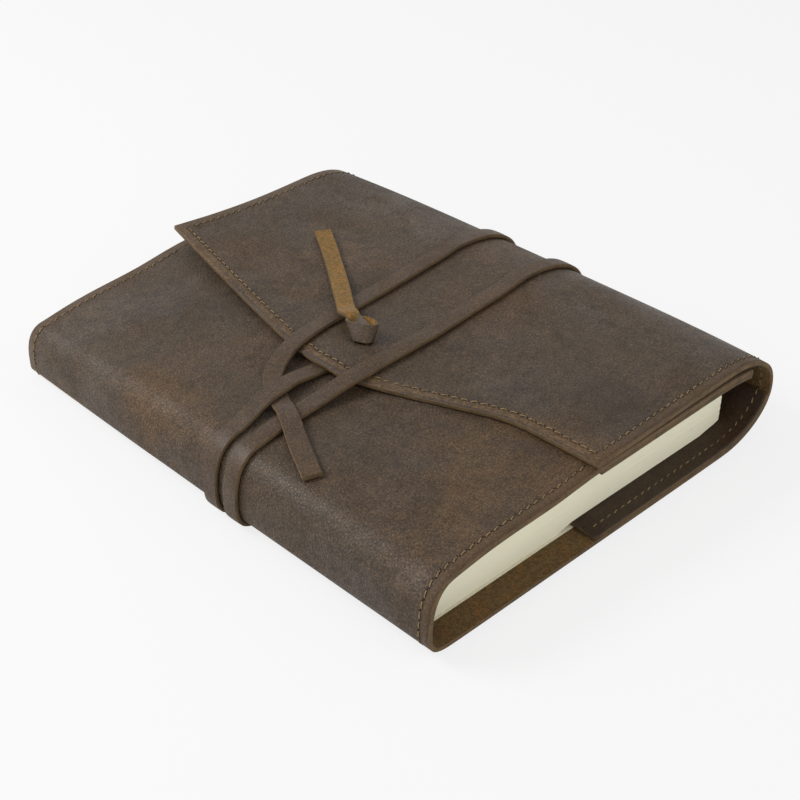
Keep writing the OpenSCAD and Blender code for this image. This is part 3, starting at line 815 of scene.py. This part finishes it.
SECOND_FLAP = [(45, -15.4, 0), (30, -16.3, 0), (15, -17.2, 0), (2, -18, 0), (-8, -18.5, 0.1),
               (-16, -18.8, 0.05),
               (-24, -19, 0), (-31, -19.1, 0), (-38, -19, 0)]
SECOND_BOARD = [(-44.5, -18.7, 1.25), (-51, -18.3, 0.55), (-58, -18.1, 0.15), (-64, -18, 0), (-70, -18.1, 0),
                (-75, -18.3, 0)]
THIRD_FLAP = [(45, 20.3, 0), (30, 19.3, 0), (15, 18.4, 0), (3, 17.7, 0), (-7, 17, 0), (-15, 16.4, 0),
              (-22, 15.7, 0), (-29, 14.5, 0), (-36.8, 12.6, 0)]
THIRD_BOARD = [(-42.6, 10.8, 1.2), (-47, 8.8, 0.6), (-51.2, 5.8, 0.2), (-54.6, 2, 0), (-57.4, -2.4, 0),
               (-59.8, -7, 0), (-61.5, -10.4, 0.2), (-63, -13.6, 0.85), (-64.4, -16.6, 1.1), (-66, -20, 1.1),
               (-67.5, -23, 0.85), (-69.2, -26.2, 0.4), (-71.5, -30.6, 0.1), (-75.5, -38.6, 0), (-79.7, -47,
                                                                                                 0)]
SPINE_PASSES = [(-7.5, -8.5), (-18.5, -19.1)]
FOLD_PASSES = [(-15.0, -14.0), (20.7, 21.5)]
PRESS_HALF, PRESS_FADE = 23, 7
MOST_TILT = 1.15


def across(width):
    """Vector from the middle of a strap to its edge, where it runs along X."""
    return Vector((0, width / 2, 0))


def lay(route, top_of, width, thickness):
    """Stations of a strap that lies on a face: centre, vector across, thickness."""
    stations = []
    for k, (x, y, layers) in enumerate(route):
        before, after = route[max(0, k - 1)], route[min(len(route) - 1, k + 1)]
        along = Vector((after[0] - before[0], after[1] - before[1], 0)).normalized()
        side = Vector((along.y, -along.x, 0)) * width / 2
        x, y = x * MM, y * MM
        high, low = top_of(x + side.x, y + side.y), top_of(x - side.x, y - side.y)
        base = max(top_of(x, y), (high + low) / 2)
        tilt = math.copysign(min(base - min(high, low), MOST_TILT * MM), high - low)
        z = base + LAY_GAP * MM + thickness / 2 + layers * (thickness + SLIP * MM)
        stations.append((Vector((x, y, z)), Vector((side.x, side.y, tilt)), thickness))
    return stations


def go_round(centre_x, turn, pass_ends, width, thickness, steps):
    """Stations of a strap that passes round a bend of the cover, from angle 0 above to 180 below."""
    start, end = pass_ends
    middle = (start + end) / 2 * MM
    outline = []
    for k in range(steps + 1):
        angle = math.pi * k / steps
        way = Vector((turn * math.sin(angle), 0, math.cos(angle)))
        outline.append(crossings(COVER_TREE, (centre_x, middle, MIDDLE_Z), way)[-1][0])
    stations = []
    for k, place in enumerate(outline):
        before, after = outline[max(0, k - 1)], outline[min(steps, k + 1)]
        along = (after - before).normalized()
        normal = Vector((along.z, 0, -along.x)) * -turn
        centre = place + normal * (SLIP * MM + 0.1 * MM + thickness / 2)
        share = k / steps
        stations.append((Vector((centre.x, (start + (end - start) * share) * MM, centre.z)), across(width),
                         thickness))
    return stations


def run_under(y0, y1, crossing_x, upper, width, thickness):
    """Stations of a strap under the book, pressed to half its thickness where the two turns cross."""
    pressed = (thickness - SLIP * MM) / 2
    spine, fold = SPINE_ROOT / MM, FOLD_ROOT / MM
    stations = []
    for x in (crossing_x - PRESS_HALF - PRESS_FADE, crossing_x - PRESS_HALF, crossing_x,
              crossing_x + PRESS_HALF,
              crossing_x + PRESS_HALF + PRESS_FADE, fold - 25):
        here = pressed if abs(x - crossing_x) < PRESS_HALF + 1 else thickness
        share = (x - spine) / (fold - spine)
        z = thickness - here / 2 if upper else here / 2
        stations.append((Vector((x, y0 + (y1 - y0) * share, 0)) * MM + UP * z, across(width), here))
    return stations


def knot_base():
    """Height of the flap at its slot, from both sides of the slot."""
    beside = 2.5 * MM
    return (flap_z(SLOT_X * MM - beside, SLOT_Y * MM) + flap_z(SLOT_X * MM + beside, SLOT_Y * MM)) / 2


def lace_stations(sizes):
    """The whole lace, from the end of its suede tail to the end of its free tail."""
    width, thick = sizes.lace_width, sizes.lace_thickness
    tail = [(place, side * share, thickness)
            for (place, side, thickness), share in zip(lay(TAIL_ROUTE, flap_z, width, thick), TAIL_SHARES)]
    first = lay(FIRST_ROUTE, board_z, width, thick)
    base, low = knot_base(), first[0][0].z
    bend = 1.0
    drop = [(Vector((SLOT_X * MM + shift * MM, SLOT_Y * MM, base + rise * MM)), across(width), thick)
            for shift, rise in ((0.9, 3.2), (0.4, 2.0), (0, 0.8), (0, -0.4))]
    for angle in (0, 30, 60, 90):
        a = math.radians(angle)
        drop.append((Vector(((SLOT_X - bend * (1 - math.cos(a))) * MM, SLOT_Y * MM,
                             low + bend * (1 - math.sin(a)) * MM)), across(width), thick))
    (s0, s1), (s2, s3) = SPINE_PASSES
    (f1, f0), (f3, f2) = FOLD_PASSES
    spread = (s1 - s3) / (s1 - s3 + f3 - f1)
    crossing_x = SPINE_ROOT / MM + (FOLD_ROOT - SPINE_ROOT) / MM * spread
    rounds = []
    rounds += go_round(SPINE_ROOT, -1, (s0, s1), width, thick, 20)
    rounds += run_under(s1, f1, crossing_x, False, width, thick)
    rounds += go_round(FOLD_ROOT, 1, (f0, f1), width, thick, 24)[::-1]
    rounds += lay(SECOND_FLAP, flap_z, width, thick) + lay(SECOND_BOARD, board_z, width, thick)
    rounds += go_round(SPINE_ROOT, -1, (s2, s3), width, thick, 20)
    rounds += run_under(s3, f3, crossing_x, True, width, thick)
    rounds += go_round(FOLD_ROOT, 1, (f2, f3), width, thick, 24)[::-1]
    rounds += lay(THIRD_FLAP, flap_z, width, thick) + lay(THIRD_BOARD, board_z, width, thick)
    return tail, drop + first, rounds


def even_out(stations, step, closed=False):
    """A smooth run through the stations, with a ring about every step."""
    count = len(stations)
    places = [s[0] for s in stations]
    spans = count if closed else count - 1

    def slope(k):
        if closed:
            a, b, c = places[k - 1], places[k], places[(k + 1) % count]
        elif k == 0:
            return (places[1] - places[0]) / max(1e-7, (places[1] - places[0]).length)
        elif k == count - 1:
            return (places[-1] - places[-2]) / max(1e-7, (places[-1] - places[-2]).length)
        else:
            a, b, c = places[k - 1], places[k], places[k + 1]
        d0, d1 = max(1e-7, (b - a).length), max(1e-7, (c - b).length)
        return ((b - a) / d0 * d1 + (c - b) / d1 * d0) / (d0 + d1)

    run = []
    for k in range(spans):
        a, b = stations[k], stations[(k + 1) % count]
        length = (b[0] - a[0]).length
        if length < 1e-6:
            continue
        m0, m1 = slope(k) * length, slope((k + 1) % count) * length
        parts = max(1, round(length / step))
        for j in range(parts):
            s = j / parts
            h = (2 * s ** 3 - 3 * s ** 2 + 1, s ** 3 - 2 * s ** 2 + s, -2 * s ** 3 + 3 * s ** 2,
                 s ** 3 - s ** 2)
            place = a[0] * h[0] + m0 * h[1] + b[0] * h[2] + m1 * h[3]
            run.append((place, a[1].lerp(b[1], s), a[2] + (b[2] - a[2]) * s))
    if not closed:
        run.append(stations[-1])
    return run


# Section of the lace in half widths and half thicknesses, from the right of the top face round
LACE_SECTION = [(0.93, 0.97), (0.5, 1.05), (0, 1.08), (-0.5, 1.05), (-0.93, 0.97), (-1, 0.5), (-1.01, 0),
                (-1, -0.5),
                (-0.93, -1), (-0.5, -1), (0, -1), (0.5, -1), (0.93, -1), (1, -0.5), (1.01, 0), (1, 0.5)]
TOP_SIDE = range(0, 4)
BOTTOM_SIDE = range(8, 12)


def sweep_strap(name, stations, step, closed=False, flesh_up=None, seed=0):
    """A flat strap: a grid laid along its route, closed round and capped."""
    run = even_out(stations, step, closed)
    rings = len(run) + (1 if closed else 0)
    around = len(LACE_SECTION)
    bpy.ops.object.select_all(action="DESELECT")
    bpy.ops.mesh.primitive_grid_add(x_subdivisions=rings - 1, y_subdivisions=around, size=1)
    piece = bpy.context.active_object
    piece.name = name
    mesh = piece.data
    index = [(round((v.co.x + 0.5) * (rings - 1)), round((v.co.y + 0.5) * around)) for v in mesh.vertices]
    for face in mesh.polygons:
        ring = min(index[i][0] for i in face.vertices)
        slot = min(index[i][1] for i in face.vertices)
        turned = flesh_up is not None and ring / rings < flesh_up
        if slot in TOP_SIDE:
            face.material_index = FLESH if turned else GRAIN
        elif slot in BOTTOM_SIDE:
            face.material_index = GRAIN if turned else FLESH
        else:
            face.material_index = CUT
    frames = []
    count = len(run)
    for k in range(count):
        if closed:
            before, after = run[k - 1][0], run[(k + 1) % count][0]
        else:
            before, after = run[max(0, k - 1)][0], run[min(count - 1, k + 1)][0]
        along = (after - before).normalized()
        side = run[k][1]
        wobble = 1 + 0.035 * noise.noise(Vector((k * step * 55, seed, 0)))
        frames.append((run[k][0], side * wobble, side.cross(along).normalized() * run[k][2] / 2))
    for vertex, (ring, slot) in zip(mesh.vertices, index):
        place, side, up = frames[ring % count]
        across, high = LACE_SECTION[slot % around]
        rough = 0.05 * MM * noise.noise(Vector((ring * step * 260, slot % around * 3.1, seed)))
        outward = side.normalized() * rough if abs(across) > 0.9 else Vector()
        vertex.co = place + side * across + up * high + outward
    only(piece)
    bpy.ops.object.mode_set(mode="EDIT")
    bpy.ops.mesh.select_all(action="SELECT")
    bpy.ops.mesh.remove_doubles(threshold=0.000005)
    if not closed:
        bpy.ops.mesh.select_all(action="DESELECT")
        bpy.ops.mesh.select_non_manifold()
        bpy.ops.mesh.fill_holes(sides=0)
    bpy.ops.mesh.select_all(action="SELECT")
    bpy.ops.mesh.normals_make_consistent(inside=False)
    bpy.ops.object.mode_set(mode="OBJECT")
    for face in mesh.polygons:
        if len(face.vertices) > 4:
            face.material_index = CUT
    return piece


# The knot, in millimetres from the slot: a collar that widens upwards, and a fold across its mouth
COLLAR_LOW, COLLAR_HIGH = Vector((-0.3, -1.2, 0.7)), Vector((3.4, 3, 6.1))
COLLAR_LONG, COLLAR_DEEP = Vector((0.39, -0.92, 0)), Vector((0.92, 0.39, 0))
COLLAR_HALF_LOW, COLLAR_HALF_HIGH = (3.2, 1.7), (6.1, 2.6)
COLLAR_OUTLINE = [(-1, 0), (-0.8, -0.78), (-0.15, -1), (0.45, -0.98), (0.85, -0.6), (1, 0), (0.7, 0.8),
                  (0, 1),
                  (-0.7, 0.8)]
FOLD_STATIONS = [((3.6, 6.9, 4.85), (-2.72, -1.22, -1.15)), ((2.3, 3.2, 4.6), (-2.54, -0.79, -1.59)),
                 ((2.1, 0.1, 4), (-1.53, 0.14, -2.22)), ((2.6, -3, 3.65), (-0.44, 0, -2.16))]


def knot_place():
    return Vector((SLOT_X * MM, SLOT_Y * MM, knot_base()))


def collar_stations(thickness):
    """One closed turn of the lace, standing round the tail."""
    stations = []
    for along, deep in COLLAR_OUTLINE:
        low = COLLAR_LOW + COLLAR_LONG * along * COLLAR_HALF_LOW[0] + COLLAR_DEEP * deep * COLLAR_HALF_LOW[1]
        high = (COLLAR_HIGH + COLLAR_LONG * along * COLLAR_HALF_HIGH[0]
                + COLLAR_DEEP * deep * COLLAR_HALF_HIGH[1])
        stations.append((knot_place() + (low + high) / 2 * MM, (low - high) / 2 * MM, thickness))
    return stations


def fold_stations(thickness):
    """The lace's short end, laid across the mouth of the collar and tucked down beside it."""
    return [(knot_place() + Vector(place) * MM, Vector(side) * MM, thickness) for place,
            side in FOLD_STATIONS]


class JOURNAL_OT_lace(bpy.types.Operator):
    """The wound lace with its knot and two tails"""

    bl_idname = "journal.lace"
    bl_label = "Lace"

    def execute(self, context):
        sizes = context.scene.journal_sizes
        thick = sizes.lace_thickness
        tail, turn_down, rounds = lace_stations(sizes)
        strands = [
            sweep_strap("lace_tail", tail, 1.2 * MM, flesh_up=2, seed=1),
            sweep_strap("lace_turns", turn_down + rounds, 1.8 * MM, seed=2),
            sweep_strap("knot_collar", collar_stations(thick), 0.7 * MM, closed=True, seed=3),
            sweep_strap("knot_fold", fold_stations(thick), 0.8 * MM, seed=4),
        ]
        for strand in strands:
            for key in ("lace", "ochre", "lace_edge"):
                strand.data.materials.append(MATERIALS[key])
        only(strands[0])
        for strand in strands[1:]:
            strand.select_set(True)
        bpy.ops.object.join()
        piece = context.view_layer.objects.active
        piece.name = "wound_lace"
        piece.data.name = "wound_lace"
        finish_piece(piece, "wrap_lace", 42)
        return {"FINISHED"}


def stitch_form(sizes):
    """One stitch: a short arched bead of thread, pulled in at both ends, with a flat dark disc at each end
    that paints the shade of its needle hole.
    """
    length = sizes.stitch_pitch * 0.80
    bpy.ops.object.select_all(action="DESELECT")
    bpy.ops.mesh.primitive_cylinder_add(vertices=8, radius=sizes.thread / 2, depth=length,
                                        end_fill_type="TRIFAN",
                                        rotation=(0, math.pi / 2, 0))
    piece = bpy.context.active_object
    bpy.ops.object.transform_apply(location=False, rotation=True, scale=True)
    bpy.ops.object.mode_set(mode="EDIT")
    bpy.ops.mesh.select_all(action="SELECT")
    for k in (-2, -1, 0, 1, 2):
        bpy.ops.mesh.select_all(action="SELECT")
        bpy.ops.mesh.bisect(plane_co=(length * k / 5.6, 0, 0), plane_no=(1, 0, 0))
    bpy.ops.object.mode_set(mode="OBJECT")
    for vertex in piece.data.vertices:
        share = vertex.co.x / (length / 2)
        thin = 1 - 0.45 * share ** 4
        vertex.co.y *= thin
        vertex.co.z = vertex.co.z * thin * 0.8 - 0.42 * MM * share ** 2 + 0.20 * MM
    form = bmesh.new()
    form.from_mesh(piece.data)
    for face in form.faces:
        face.material_index = 0
    for end in (-1, 1):
        spot = bmesh.ops.create_circle(form, cap_ends=True, cap_tris=True, segments=8, radius=0.30 * MM,
                                       matrix=Matrix.Translation((end * length * 0.52, 0, 0.03 * MM)))
        for face in {f for v in spot["verts"] for f in v.link_faces}:
            face.material_index = 1
    form.to_mesh(piece.data)
    form.free()
    mesh = piece.data
    bpy.data.objects.remove(piece)
    return mesh


def walk(path, pitch):
    """Places and directions at an even pitch along a path of points with normals."""
    spots, carry = [], pitch / 2
    for (a, na), (b, nb) in zip(path, path[1:]):
        length = (b - a).length
        while carry < length:
            s = carry / length
            spots.append((a.lerp(b, s), (b - a).normalized(), na.lerp(nb, s).normalized()))
            carry += pitch
        carry -= length
    return spots


def end_seam(y):
    """The seam along one end of the sheet, over the board, the spine, the back, the fold and the flap."""
    board, flap = [], []
    edge = flap_edge_x(y)
    x = edge - 1 * MM
    while x > SPINE_ROOT:
        board.append(from_above(x, y)[0])
        x -= 3 * MM
    for k in range(25):
        angle = math.pi * k / 24
        way = Vector((-math.sin(angle), 0, math.cos(angle)))
        board.append(crossings(COVER_TREE, (SPINE_ROOT, y, MIDDLE_Z), way)[-1])
    board.append(crossings(COVER_TREE, (FOLD_ROOT, y, MIDDLE_Z), DOWN)[-1])
    for k in range(1, 33):
        angle = math.pi * (1 - k / 32)
        way = Vector((math.sin(angle), 0, math.cos(angle)))
        board.append(crossings(COVER_TREE, (FOLD_ROOT, y, MIDDLE_Z), way)[-1])
    x = FOLD_ROOT - 3 * MM
    while x > edge + 5.5 * MM:
        board.append(from_above(x, y)[0])
        x -= 3 * MM
    return board


def inner_seam(y):
    """The same seam where it shows inside, on the pocket leather of the back cover and the fold."""
    path = []
    x = BACK_POCKET_LOW.x + 3 * MM
    while x < FOLD_ROOT:
        path.append(crossings(LINED_TREE, (x, y, 0.015), DOWN)[0])
        x += 3 * MM
    for k in range(33):
        angle = math.pi * (1 - k / 32)
        way = Vector((math.sin(angle), 0, math.cos(angle)))
        path.append(crossings(LINED_TREE, (FOLD_ROOT, y, MIDDLE_Z), way)[0])
    return path


def flap_seam(inset):
    """The seam along the flap's free edge, set in square to the edge, round its tip and corners."""
    lows = [COVER_LOW.y + inset + (COVER_HIGH.y - COVER_LOW.y - 2 * inset) * k / 75 for k in range(76)]
    path = []
    for y in lows:
        x = flap_edge_x(y) + 0.6 * inset
        while rim_gap(Vector((x, y, 0))) < inset:
            x += 0.2 * MM
        path.append(from_above(x, y)[0])
    return path


class JOURNAL_OT_thread(bpy.types.Operator):
    """Every stitch of the seams"""

    bl_idname = "journal.thread"
    bl_label = "Thread"

    def execute(self, context):
        sizes = context.scene.journal_sizes
        form = stitch_form(sizes)
        inset, pitch = sizes.seam_inset, sizes.stitch_pitch
        seams = [end_seam(COVER_LOW.y + inset), end_seam(COVER_HIGH.y - inset), flap_seam(inset),
                 inner_seam(COVER_LOW.y + inset), inner_seam(COVER_HIGH.y - inset)]
        rng = random.Random(11)
        work = bmesh.new()
        for seam in seams:
            for place, along, normal in walk(seam, pitch):
                side = normal.cross(along).normalized()
                lift = normal - along * normal.dot(along)
                lift.normalize()
                turn = Matrix.Rotation(math.radians(12 + rng.uniform(-7, 7)), 3, "Z")
                axes = Matrix((along, side, lift)).transposed() @ turn
                matrix = Matrix.Translation(place + lift * 0.02 * MM) @ axes.to_4x4()
                first = len(work.verts)
                work.from_mesh(form)
                work.verts.ensure_lookup_table()
                bmesh.ops.transform(work, matrix=matrix, verts=work.verts[first:])
        mesh = bpy.data.meshes.new("seam_thread")
        work.to_mesh(mesh)
        work.free()
        piece = bpy.data.objects.new("seam_thread", mesh)
        context.scene.collection.objects.link(piece)
        piece.data.materials.append(MATERIALS["thread"])
        piece.data.materials.append(MATERIALS["hole"])
        finish_piece(piece, None, 60)
        return {"FINISHED"}


# The photograph's camera, in millimetres and degrees
CAMERA_PLACE = Vector((-334.07, -346.64, 322.4)) * MM
CAMERA_HEADING = 45.54
CAMERA_DOWN = 33.71
CAMERA_ROLL = 0.07
CAMERA_LENS = 67.73


def add_camera():
    heading, down = math.radians(CAMERA_HEADING), math.radians(CAMERA_DOWN)
    way = Vector((math.cos(down) * math.cos(heading), math.cos(down) * math.sin(heading), -math.sin(down)))
    camera = bpy.data.objects.new("camera", bpy.data.cameras.new("camera"))
    bpy.context.scene.collection.objects.link(camera)
    camera.data.lens = CAMERA_LENS
    camera.data.sensor_width = 36
    camera.data.clip_start = 0.01
    camera.data.clip_end = 50
    turn = way.to_track_quat("-Z", "Y").to_matrix() @ Matrix.Rotation(math.radians(CAMERA_ROLL), 3, "Z")
    camera.matrix_world = Matrix.Translation(CAMERA_PLACE) @ turn.to_4x4()
    bpy.context.scene.camera = camera


def add_lamp(name, place, target, size, energy, colour=(1, 1, 1)):
    lamp = bpy.data.objects.new(name, bpy.data.lights.new(name, "AREA"))
    bpy.context.scene.collection.objects.link(lamp)
    lamp.data.shape = "RECTANGLE"
    lamp.data.size, lamp.data.size_y = size
    lamp.data.energy = energy
    lamp.data.color = colour
    lamp.location = place
    lamp.rotation_euler = (Vector(target) - Vector(place)).to_track_quat("-Z", "Y").to_euler()


def add_floor(colour):
    """A wide pale floor that the camera sees nearly white, with the object's soft shadow on it."""
    bpy.ops.object.select_all(action="DESELECT")
    bpy.ops.mesh.primitive_plane_add(size=14)
    floor = bpy.context.active_object
    floor.name = "floor"
    material, tree, shader, place = start_material("floor_paper")
    tone = blend(tree, cloud(tree, place, 3.0), colour, [c * 0.995 for c in colour])
    tree.links.new(tone, shader.inputs["Base Color"])
    shader.inputs["Roughness"].default_value = 0.9
    shader.inputs["Specular IOR Level"].default_value = 0.1
    glow = add_node(tree, "ShaderNodeEmission", {"Color": (0.925, 0.925, 0.925, 1), "Strength": 1.0})
    light_path = add_node(tree, "ShaderNodeLightPath")
    share = calc(tree, "MULTIPLY", light_path.outputs["Is Camera Ray"], 0.86)
    mix = add_node(tree, "ShaderNodeMixShader", {0: share, 1: shader.outputs[0], 2: glow.outputs[0]})
    tree.links.new(mix.outputs[0], tree.nodes["Material Output"].inputs["Surface"])
    floor.data.materials.append(material)


def light_world():
    world = bpy.data.worlds.new("studio")
    bpy.context.scene.world = world
    world.use_nodes = True
    tree = world.node_tree
    tree.nodes.clear()
    paths = add_node(tree, "ShaderNodeLightPath")
    seen = calc(tree, "MAXIMUM", calc(tree, "MAXIMUM", paths.outputs["Is Camera Ray"],
                                      paths.outputs["Is Glossy Ray"]),
                paths.outputs["Is Transmission Ray"])
    soft = add_node(tree, "ShaderNodeBackground", {"Color": (1, 1, 1, 1), "Strength": 0.52})
    white = add_node(tree, "ShaderNodeBackground", {"Color": (0.925, 0.925, 0.925, 1), "Strength": 1.0})
    mix = add_node(tree, "ShaderNodeMixShader", {0: seen, 1: soft.outputs[0], 2: white.outputs[0]})
    out = add_node(tree, "ShaderNodeOutputWorld")
    tree.links.new(mix.outputs[0], out.inputs["Surface"])


class JOURNAL_OT_stage(bpy.types.Operator):
    """Camera, lamps, world and floor"""

    bl_idname = "journal.stage"
    bl_label = "Stage"

    def execute(self, context):
        context.scene.view_settings.view_transform = "Standard"
        add_camera()
        add_lamp("key", (-0.58, 0.66, 0.80), (0, 0, 0.02), (0.55, 0.55), 10.5)
        add_lamp("side", (-0.85, -0.35, 0.35), (-0.05, 0, 0.02), (0.6, 0.4), 1.3)
        add_lamp("front", (0.25, -0.9, 0.55), (0, 0, 0.02), (0.7, 0.5), 2.2)
        light_world()
        add_floor(list(context.scene.journal_colours.floor))
        return {"FINISHED"}


class JOURNAL_PT_panel(bpy.types.Panel):
    """Lists the journal's pieces"""

    bl_label = "Journal"
    bl_idname = "JOURNAL_PT_panel"
    bl_space_type = "VIEW_3D"
    bl_region_type = "UI"
    bl_category = "Journal"

    def draw(self, context):
        for group in (context.scene.journal_sizes, context.scene.journal_colours):
            for name in group.__annotations__:
                self.layout.prop(group, name)
        for operator in OPERATORS:
            self.layout.operator(operator.bl_idname)


OPERATORS = (JOURNAL_OT_stage, JOURNAL_OT_cover, JOURNAL_OT_pockets, JOURNAL_OT_refill, JOURNAL_OT_lace,
             JOURNAL_OT_thread)
CLASSES = (JournalSizes, JournalColours) + OPERATORS + (JOURNAL_PT_panel,)


def register():
    for item in CLASSES:
        bpy.utils.register_class(item)
    bpy.types.Scene.journal_sizes = PointerProperty(type=JournalSizes)
    bpy.types.Scene.journal_colours = PointerProperty(type=JournalColours)


def unregister():
    del bpy.types.Scene.journal_colours
    del bpy.types.Scene.journal_sizes
    for item in reversed(CLASSES):
        bpy.utils.unregister_class(item)


def main():
    register()
    build_groups()
    build_materials(bpy.context.scene)
    bpy.ops.journal.stage()
    bpy.ops.journal.cover()
    bpy.ops.journal.pockets()
    bpy.ops.journal.refill()
    bpy.ops.journal.lace()
    bpy.ops.journal.thread()
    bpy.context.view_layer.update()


if __name__ == "__main__":
    main()
